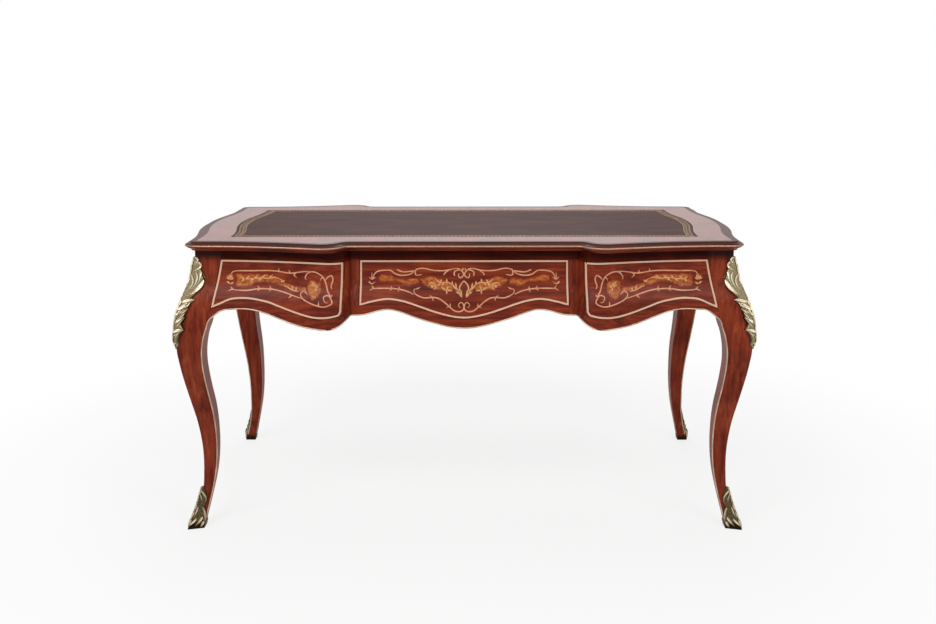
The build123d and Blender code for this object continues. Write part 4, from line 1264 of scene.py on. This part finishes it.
def palmette_mesh():
    """One stamped figure: five petals that fan out over two curls, by degrees and mm."""
    made = bmesh.new()
    for angle, length in PETALS:
        turn = radians(angle)
        tip = Vector((sin(turn), cos(turn))) * length * MM
        ring = leaf_outline(tip * PETAL_ROOT, tip, PETAL_WIDTH)
        skin(made, [level_ring(made, ring, -TOOLING_DEPTH), level_ring(made, ring, TOOLING_DEPTH)])
    bmesh.ops.recalc_face_normals(made, faces=made.faces)
    mesh = bpy.data.meshes.new("palmette")
    made.to_mesh(mesh)
    made.free()
    return mesh


figure = bpy.data.objects.new("palmette", palmette_mesh())
middle_line = inset(outline, (BORDER_IN + BORDER_OUT) / 2)
roll_line = [Vector((p.x, p.y, LEATHER_TOP)) for p in middle_line]
run_along("gold_palmettes", stamp_tree(), [(roll_line, True)],
          {"Step": PALMETTE_STEP, "Figure": figure, "Finish": gold_leaf}, "carcass")
bpy.data.objects.remove(figure)

# %% [markdown]
# ## Gilt bronze mounts
# A chute guards each knee and a sabot each foot. The corner of a leg is opened out
# flat, w across from the arris and z up, and all the drawing is done there. The
# chute's body is a domed shell with a leafy outline, as thick as its solid, and
# the sabot's is the solid itself. Every leaf, scroll and vein of the chasing is a
# stroke of its own on them, swept with a rounded section that has a vein down its
# middle. The lines are picked up in the picture plane on the left front leg. Each
# stroke is then laid on both faces of the corner and mirrored to all four legs.

# %% The corner of a leg, opened out
CORNER_LINE = 0.38             # x + y along the ridge of the front right leg
WRAP = 16 * MM                 # the strokes turn round the corner within this width
NEAR_LEG = 0.1                 # rays to the mounts start this far out
CORNER_PULL = 2                # of the way out on a stroke's normal, against the surface's
FLOOR_GAP = 0.3 * MM
DIAGONAL = Vector((1, -1, 0)).normalized()     # out over the corner
MIRRORED = ((1, 1), (-1, 1), (1, -1), (-1, -1))        # signs of x and y for the four legs

left_mounts = surface_of("leg_front_left", "corner_mount_front_left", "sabot_front_left")
leg_tree = surface_of("leg_front_right")
cast_tree = surface_of("leg_front_right", "corner_mount_front_right")


def leg_corner(z):
    """The outer corner of the front right leg at a height."""
    start = Vector((CORNER_LINE / 2, CORNER_LINE / 2, z)) + DIAGONAL * OUTSIDE
    return met(leg_tree, start, -DIAGONAL)[0]


def on_mount(tree, w, z):
    """Place and normal on a surface, w across from the arris (negative: end face)."""
    share = min(1.0, abs(w) / WRAP)
    out = (Vector((0, -1, 0)) if w > 0 else Vector((1, 0, 0))) * share
    out = (out + DIAGONAL * (1 - share)).normalized()
    foot = leg_corner(z) + (Vector((-w, 0, 0)) if w > 0 else Vector((0, -w, 0)))
    point, normal = met(tree, foot + out * NEAR_LEG, -out)
    return point, (normal + out * CORNER_PULL).normalized()


def mount_place(pixel):
    """(w, z) on the left front mounts for a picture point."""
    point = seen_at(left_mounts, pixel)
    return max(0.0, point.x + leg_corner(point.z).x), point.z


def mount_vert(made, point, flip):
    """A vertex of a mount, kept inside the solids' box and mirrored to its leg."""
    x, y, z = min(point.x, reach_x), max(point.y, -reach_y), max(point.z, FLOOR_GAP)
    return made.verts.new((x * flip[0], y * flip[1], z))


# %% Strokes on the corner of a leg
# A section's points are (across, rise), as shares of half its width and its height.
SECTION = [(1.0, 0.0), (0.86, 0.55), (0.5, 0.98), (0.16, 0.86), (0.0, 0.72)]
SECTION += [(-across, rise) for across, rise in SECTION[-2::-1]]
SECTION += [(-0.9, -0.6), (0.9, -0.6)]         # its foot is let into the mount
LEAST_SWELL, TIP_SWELL = 0.14, 0.1


def swell(t):
    """How full a stroke is along its length: fine, soon broad, then drawn to a point."""
    return max(LEAST_SWELL, sin(pi * min(1.0, 0.1 + 0.9 * t ** 0.75))) if t < 1 else TIP_SWELL


def lay_stroke(made, tree, line, width, height, flip):
    """Adds one chased stroke along (w, z) points, mirrored by flip."""
    crest = attribute(made, "crest")
    places = [on_mount(tree, w, z) for w, z in line]
    last = len(places) - 1
    rings = []
    for i, (point, normal) in enumerate(places):
        along = (places[min(i + 1, last)][0] - places[max(i - 1, 0)][0]).normalized()
        side = along.cross(normal).normalized()
        full = swell(i / last)
        ring = []
        for across, rise in SECTION:
            place = point + side * (across * width / 2 * full) + normal * (rise * height * full)
            ring.append(mount_vert(made, place, flip))
            ring[-1][crest] = max(0.0, min(1.0, rise)) * (0.35 + 0.65 * full)
        rings.append(ring)
    skin(made, rings)


# %% Drawing of the chute
# Width and height of a stroke in mm, then its points in the picture plane.
chute_strokes = [
    (11.9, 3.7, [(203.2, 279.8), (201.6, 284), (198.6, 288), (194.8, 291.6), (191.2, 294.4),
        (188, 296)]),
    (5.6, 2.4, [(192.1, 258.6), (194.7, 257.6), (197.4, 258.9), (198.2, 261.4), (196.2, 263),
        (194.2, 262.2)]),
    (6.9, 2.7, [(198.4, 262), (200.4, 264.4), (200, 267.6), (197.6, 269.6), (195.4, 271.2)]),
    (6.9, 2.6, [(199.6, 269.4), (200.6, 272.8), (200.2, 277), (198.4, 282.4), (195.4, 287.4)]),
    (6.2, 2.4, [(197.6, 271.6), (198.4, 277), (196.8, 283), (193.4, 288.6), (189.8, 292.6)]),
    (6.2, 2.4, [(194.4, 272.6), (195.8, 278), (195.2, 283.4), (192.2, 288.6), (188.6, 292.4)]),
    (6.2, 2.4, [(192.6, 263.2), (193.2, 267), (194.2, 270.4)]),
    (5.6, 2.2, [(192.9, 275.6), (193.3, 281), (191.2, 286.6), (187.4, 291.4)]),
    (5.0, 2.1, [(191.2, 281), (189.2, 287.2), (185.6, 291.8)]),
    (5.0, 2.2, [(187, 294), (183.8, 295.2), (181.6, 297.4), (182.6, 299.6), (184.6, 298.8)]),
    (9.4, 3.0, [(184.6, 302), (188.4, 300.6), (191.8, 300), (195.2, 300.4)]),
    (10.6, 3.2, [(180.8, 309.8), (183.6, 307.6), (186.4, 306), (189.4, 305.4)]),
    (10.0, 3.0, [(178.9, 315.8), (181.4, 313.2), (183.8, 311.8), (186.2, 311.4)]),
    (9.4, 2.9, [(179.2, 323.4), (180.9, 320.6), (182.7, 318.6), (185, 317.8)]),
    (8.8, 2.7, [(176.6, 333), (178.6, 331), (181, 330.2), (183.9, 330.9)]),
    (8.1, 2.6, [(175.2, 339.6), (176, 336.6), (177.4, 335), (179.6, 334.6)]),
    (7.5, 2.4, [(174.2, 346.8), (175.2, 344.6), (176.6, 343.6), (178.8, 345)]),
    (7.5, 2.7, [(185.4, 300.6), (182.4, 306.4), (180.2, 312.2), (178.4, 318.6), (177.4, 326),
        (176.8, 332.6)]),
    (6.2, 2.4, [(188.4, 302.6), (185.4, 305), (182.2, 310.6)]),
    (6.2, 2.4, [(183.6, 309), (181.2, 314.6), (179.6, 321.4)]),
    (5.6, 2.2, [(176.4, 332), (175.4, 338), (174.6, 344.6)]),
    (4.4, 3.0, [(187.6, 302.6), (184.4, 307.4), (181.8, 312.6)]),
    (4.4, 3.0, [(190.2, 302.4), (187.4, 306), (184.6, 310)]),
    (4.2, 2.8, [(187.4, 308.4), (184.4, 312.6), (182, 317)]),
    (4.2, 2.8, [(185.2, 313.4), (182.4, 317.8), (180.4, 322.4)]),
    (4.0, 2.6, [(183.2, 319.8), (180.8, 324.4), (179, 329.4)]),
    (4.0, 2.6, [(180.8, 331.6), (178.8, 335.4), (177.4, 339.6)]),
]
# Those down the arris have (w, z) points in mm.
spine_strokes = [
    (8, 2.2, [(0, 764), (0, 738), (0, 712), (0, 686), (0, 660)]),
    (8, 2.0, [(0, 658), (0, 633), (0, 608), (0, 582), (0, 556), (0, 516)]),
]
print(len(chute_strokes) + len(spine_strokes), "strokes on a chute")

# %% Drawing of the sabot
sabot_strokes = [
    (6.0, 2.8, [(202, 487.4), (203.4, 490.6), (205, 494.2), (206.2, 497.8), (205.8, 501.4),
        (204.2, 505)]),
    (6.2, 3.0, [(203.2, 507), (204.4, 510.4), (205, 514), (205.2, 518), (204.8, 521.8),
        (204, 525)]),
    (7.0, 2.6, [(201.4, 489.6), (202, 493.4), (203, 497), (203.2, 500.8), (202.4, 504)]),
    (7.0, 2.6, [(200, 493.4), (200, 497.4), (200.6, 501.6), (200.8, 505)]),
    (6.0, 2.4, [(198.4, 499.6), (198.4, 503.4), (198.8, 507.4)]),
    (6.5, 2.6, [(200.6, 506.6), (199.4, 510.8), (198, 514.8), (196.4, 518.4)]),
    (6.5, 2.6, [(197.6, 507.6), (196.4, 511.6), (194.8, 515.4), (193.4, 518.8)]),
    (8.5, 3.2, [(202.8, 516.6), (200.8, 520), (198.6, 523.2), (196.6, 526.2)]),
    (8.0, 3.2, [(204, 520.8), (202.4, 524), (200.2, 527.2)]),
    (8.0, 3.0, [(198.4, 518.4), (196.4, 521.6), (194.4, 524.8), (193.2, 527.6)]),
    (7.5, 2.8, [(194.4, 517.6), (192.4, 521.2), (190.8, 524.8)]),
]
foot_strokes = [
    (6, 2.2, [(0, 113), (0, 107), (0, 99)]), (7, 2.4, [(0, 100), (0, 92), (0, 84)]),
    (7, 2.6, [(0, 85), (0, 76), (0, 66)]), (8, 2.8, [(0, 67), (0, 57), (0, 47)]),
    (8, 2.8, [(0, 48), (0, 38), (0, 27)]), (9, 3.0, [(0, 29), (0, 18), (0, 6)]),
]
print(len(sabot_strokes) + len(foot_strokes), "strokes on a sabot")

# %% Body of the chute
# The outline is the chute's edge on the leg's front face, in the picture plane.
chute_outline = [
    (191.6, 256.8), (196.4, 257.6), (199.4, 260.4), (201, 263.6), (200.6, 268.6), (201.4, 273.2),
    (204.4, 278.6), (203.8, 281.4), (200.6, 288.4), (196, 294.2), (191.4, 298.2), (196.2, 300),
    (190.2, 304.6), (190, 306), (185.8, 310.4), (187, 311.6), (184.2, 316.6), (185.6, 318.2),
    (181.4, 324.6), (184.4, 330.4), (181.2, 333.6), (180, 335.4), (178.2, 341), (179.2, 345.4),
    (175.4, 349.4),
]
SHELL_STEP, SHELL_COLUMNS = 2.2 * MM, 14
SHELL_LEAST = 1.5 * MM         # half of its width at the tips
SHELL_PROUD, SHELL_SUNK = 0.3 * MM, 0.8 * MM
SHELL_CREST = 0.42             # its tone lies between the hollows and the strokes
TIP_FADE = 8                   # the doming is full within a tenth of the length


def outline_width(places, z):
    """How far the chute's edge is from the arris at a height."""
    for (w1, z1), (w2, z2) in zip(places, places[1:]):
        if z2 <= z <= z1:
            return w1 + (w2 - w1) * (z1 - z) / max(z1 - z2, 1e-9)
    return places[-1][0]


def lay_shell(made, places, flip):
    """Adds a domed shell over the corner, as wide as its outline at each height."""
    crest = attribute(made, "crest")
    top, bottom = places[0][1], places[-1][1]
    steps = round((top - bottom) / SHELL_STEP)
    shares = [2 * k / (SHELL_COLUMNS - 1) - 1 for k in range(SHELL_COLUMNS)]
    rings = []
    for i in range(steps + 1):
        z = top + (bottom - top) * i / steps
        width = max(SHELL_LEAST, outline_width(places, z))
        fade = min(1.0, TIP_FADE * i / steps + 0.3, TIP_FADE * (steps - i) / steps + 0.3)
        outer, inner = [], []
        for share in shares:
            point, normal = on_mount(leg_tree, share * width, z)
            cast = on_mount(cast_tree, share * width, z)[0]
            domed = point.lerp(cast, fade * (1 - abs(share) ** 7)) + normal * SHELL_PROUD
            for row, place in ((outer, domed), (inner, point - normal * SHELL_SUNK)):
                row.append(mount_vert(made, place, flip))
                row[-1][crest] = SHELL_CREST - SHELL_CREST * abs(share) ** 8
        rings.append(outer + inner[::-1])
    skin(made, rings)


chute_edge = sorted((mount_place(p) for p in chute_outline), key=lambda place: -place[1])
shell = bmesh.new()
lay_shell(shell, chute_edge, MIRRORED[0])
shell_tree = BVHTree.FromBMesh(shell)
shell.free()
print("widest", round(max(w for w, z in chute_edge) / MM), "mm, long",
      round((chute_edge[0][1] - chute_edge[-1][1]) / MM), "mm")

# %% Chase the mounts
STROKE_STEP = 2.5 * MM


def lay_chasing(made, tree, strokes, middles):
    """Lays the strokes on both faces of the four corners, and those down the arris."""
    lines = [(width, height, [mount_place(p) for p in points])
             for width, height, points in strokes]
    spines = [(width, height, [(w * MM, z * MM) for w, z in points])
              for width, height, points in middles]
    for flip in MIRRORED:
        for face, drawn_strokes in ((1, lines), (-1, lines), (1, spines)):
            for width, height, points in drawn_strokes:
                line = smooth_line([(face * w, z) for w, z in points], STROKE_STEP)
                lay_stroke(made, tree, line, width * MM, height * MM, flip)


made = bmesh.new()
for flip in MIRRORED:
    lay_shell(made, chute_edge, flip)
lay_chasing(made, shell_tree, chute_strokes, spine_strokes)
chutes = add_piece("chute_chasing", made, "carcass", crest_bronze)
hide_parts(*[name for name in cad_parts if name.startswith("corner_mount")])

made = bmesh.new()
sabot_tree = surface_of("leg_front_right", "sabot_front_right")
lay_chasing(made, sabot_tree, sabot_strokes, foot_strokes)
add_piece("sabot_chasing", made, "carcass", sabot_bronze)
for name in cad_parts:
    if name.startswith("sabot"):
        give_finish(name, ground_bronze)
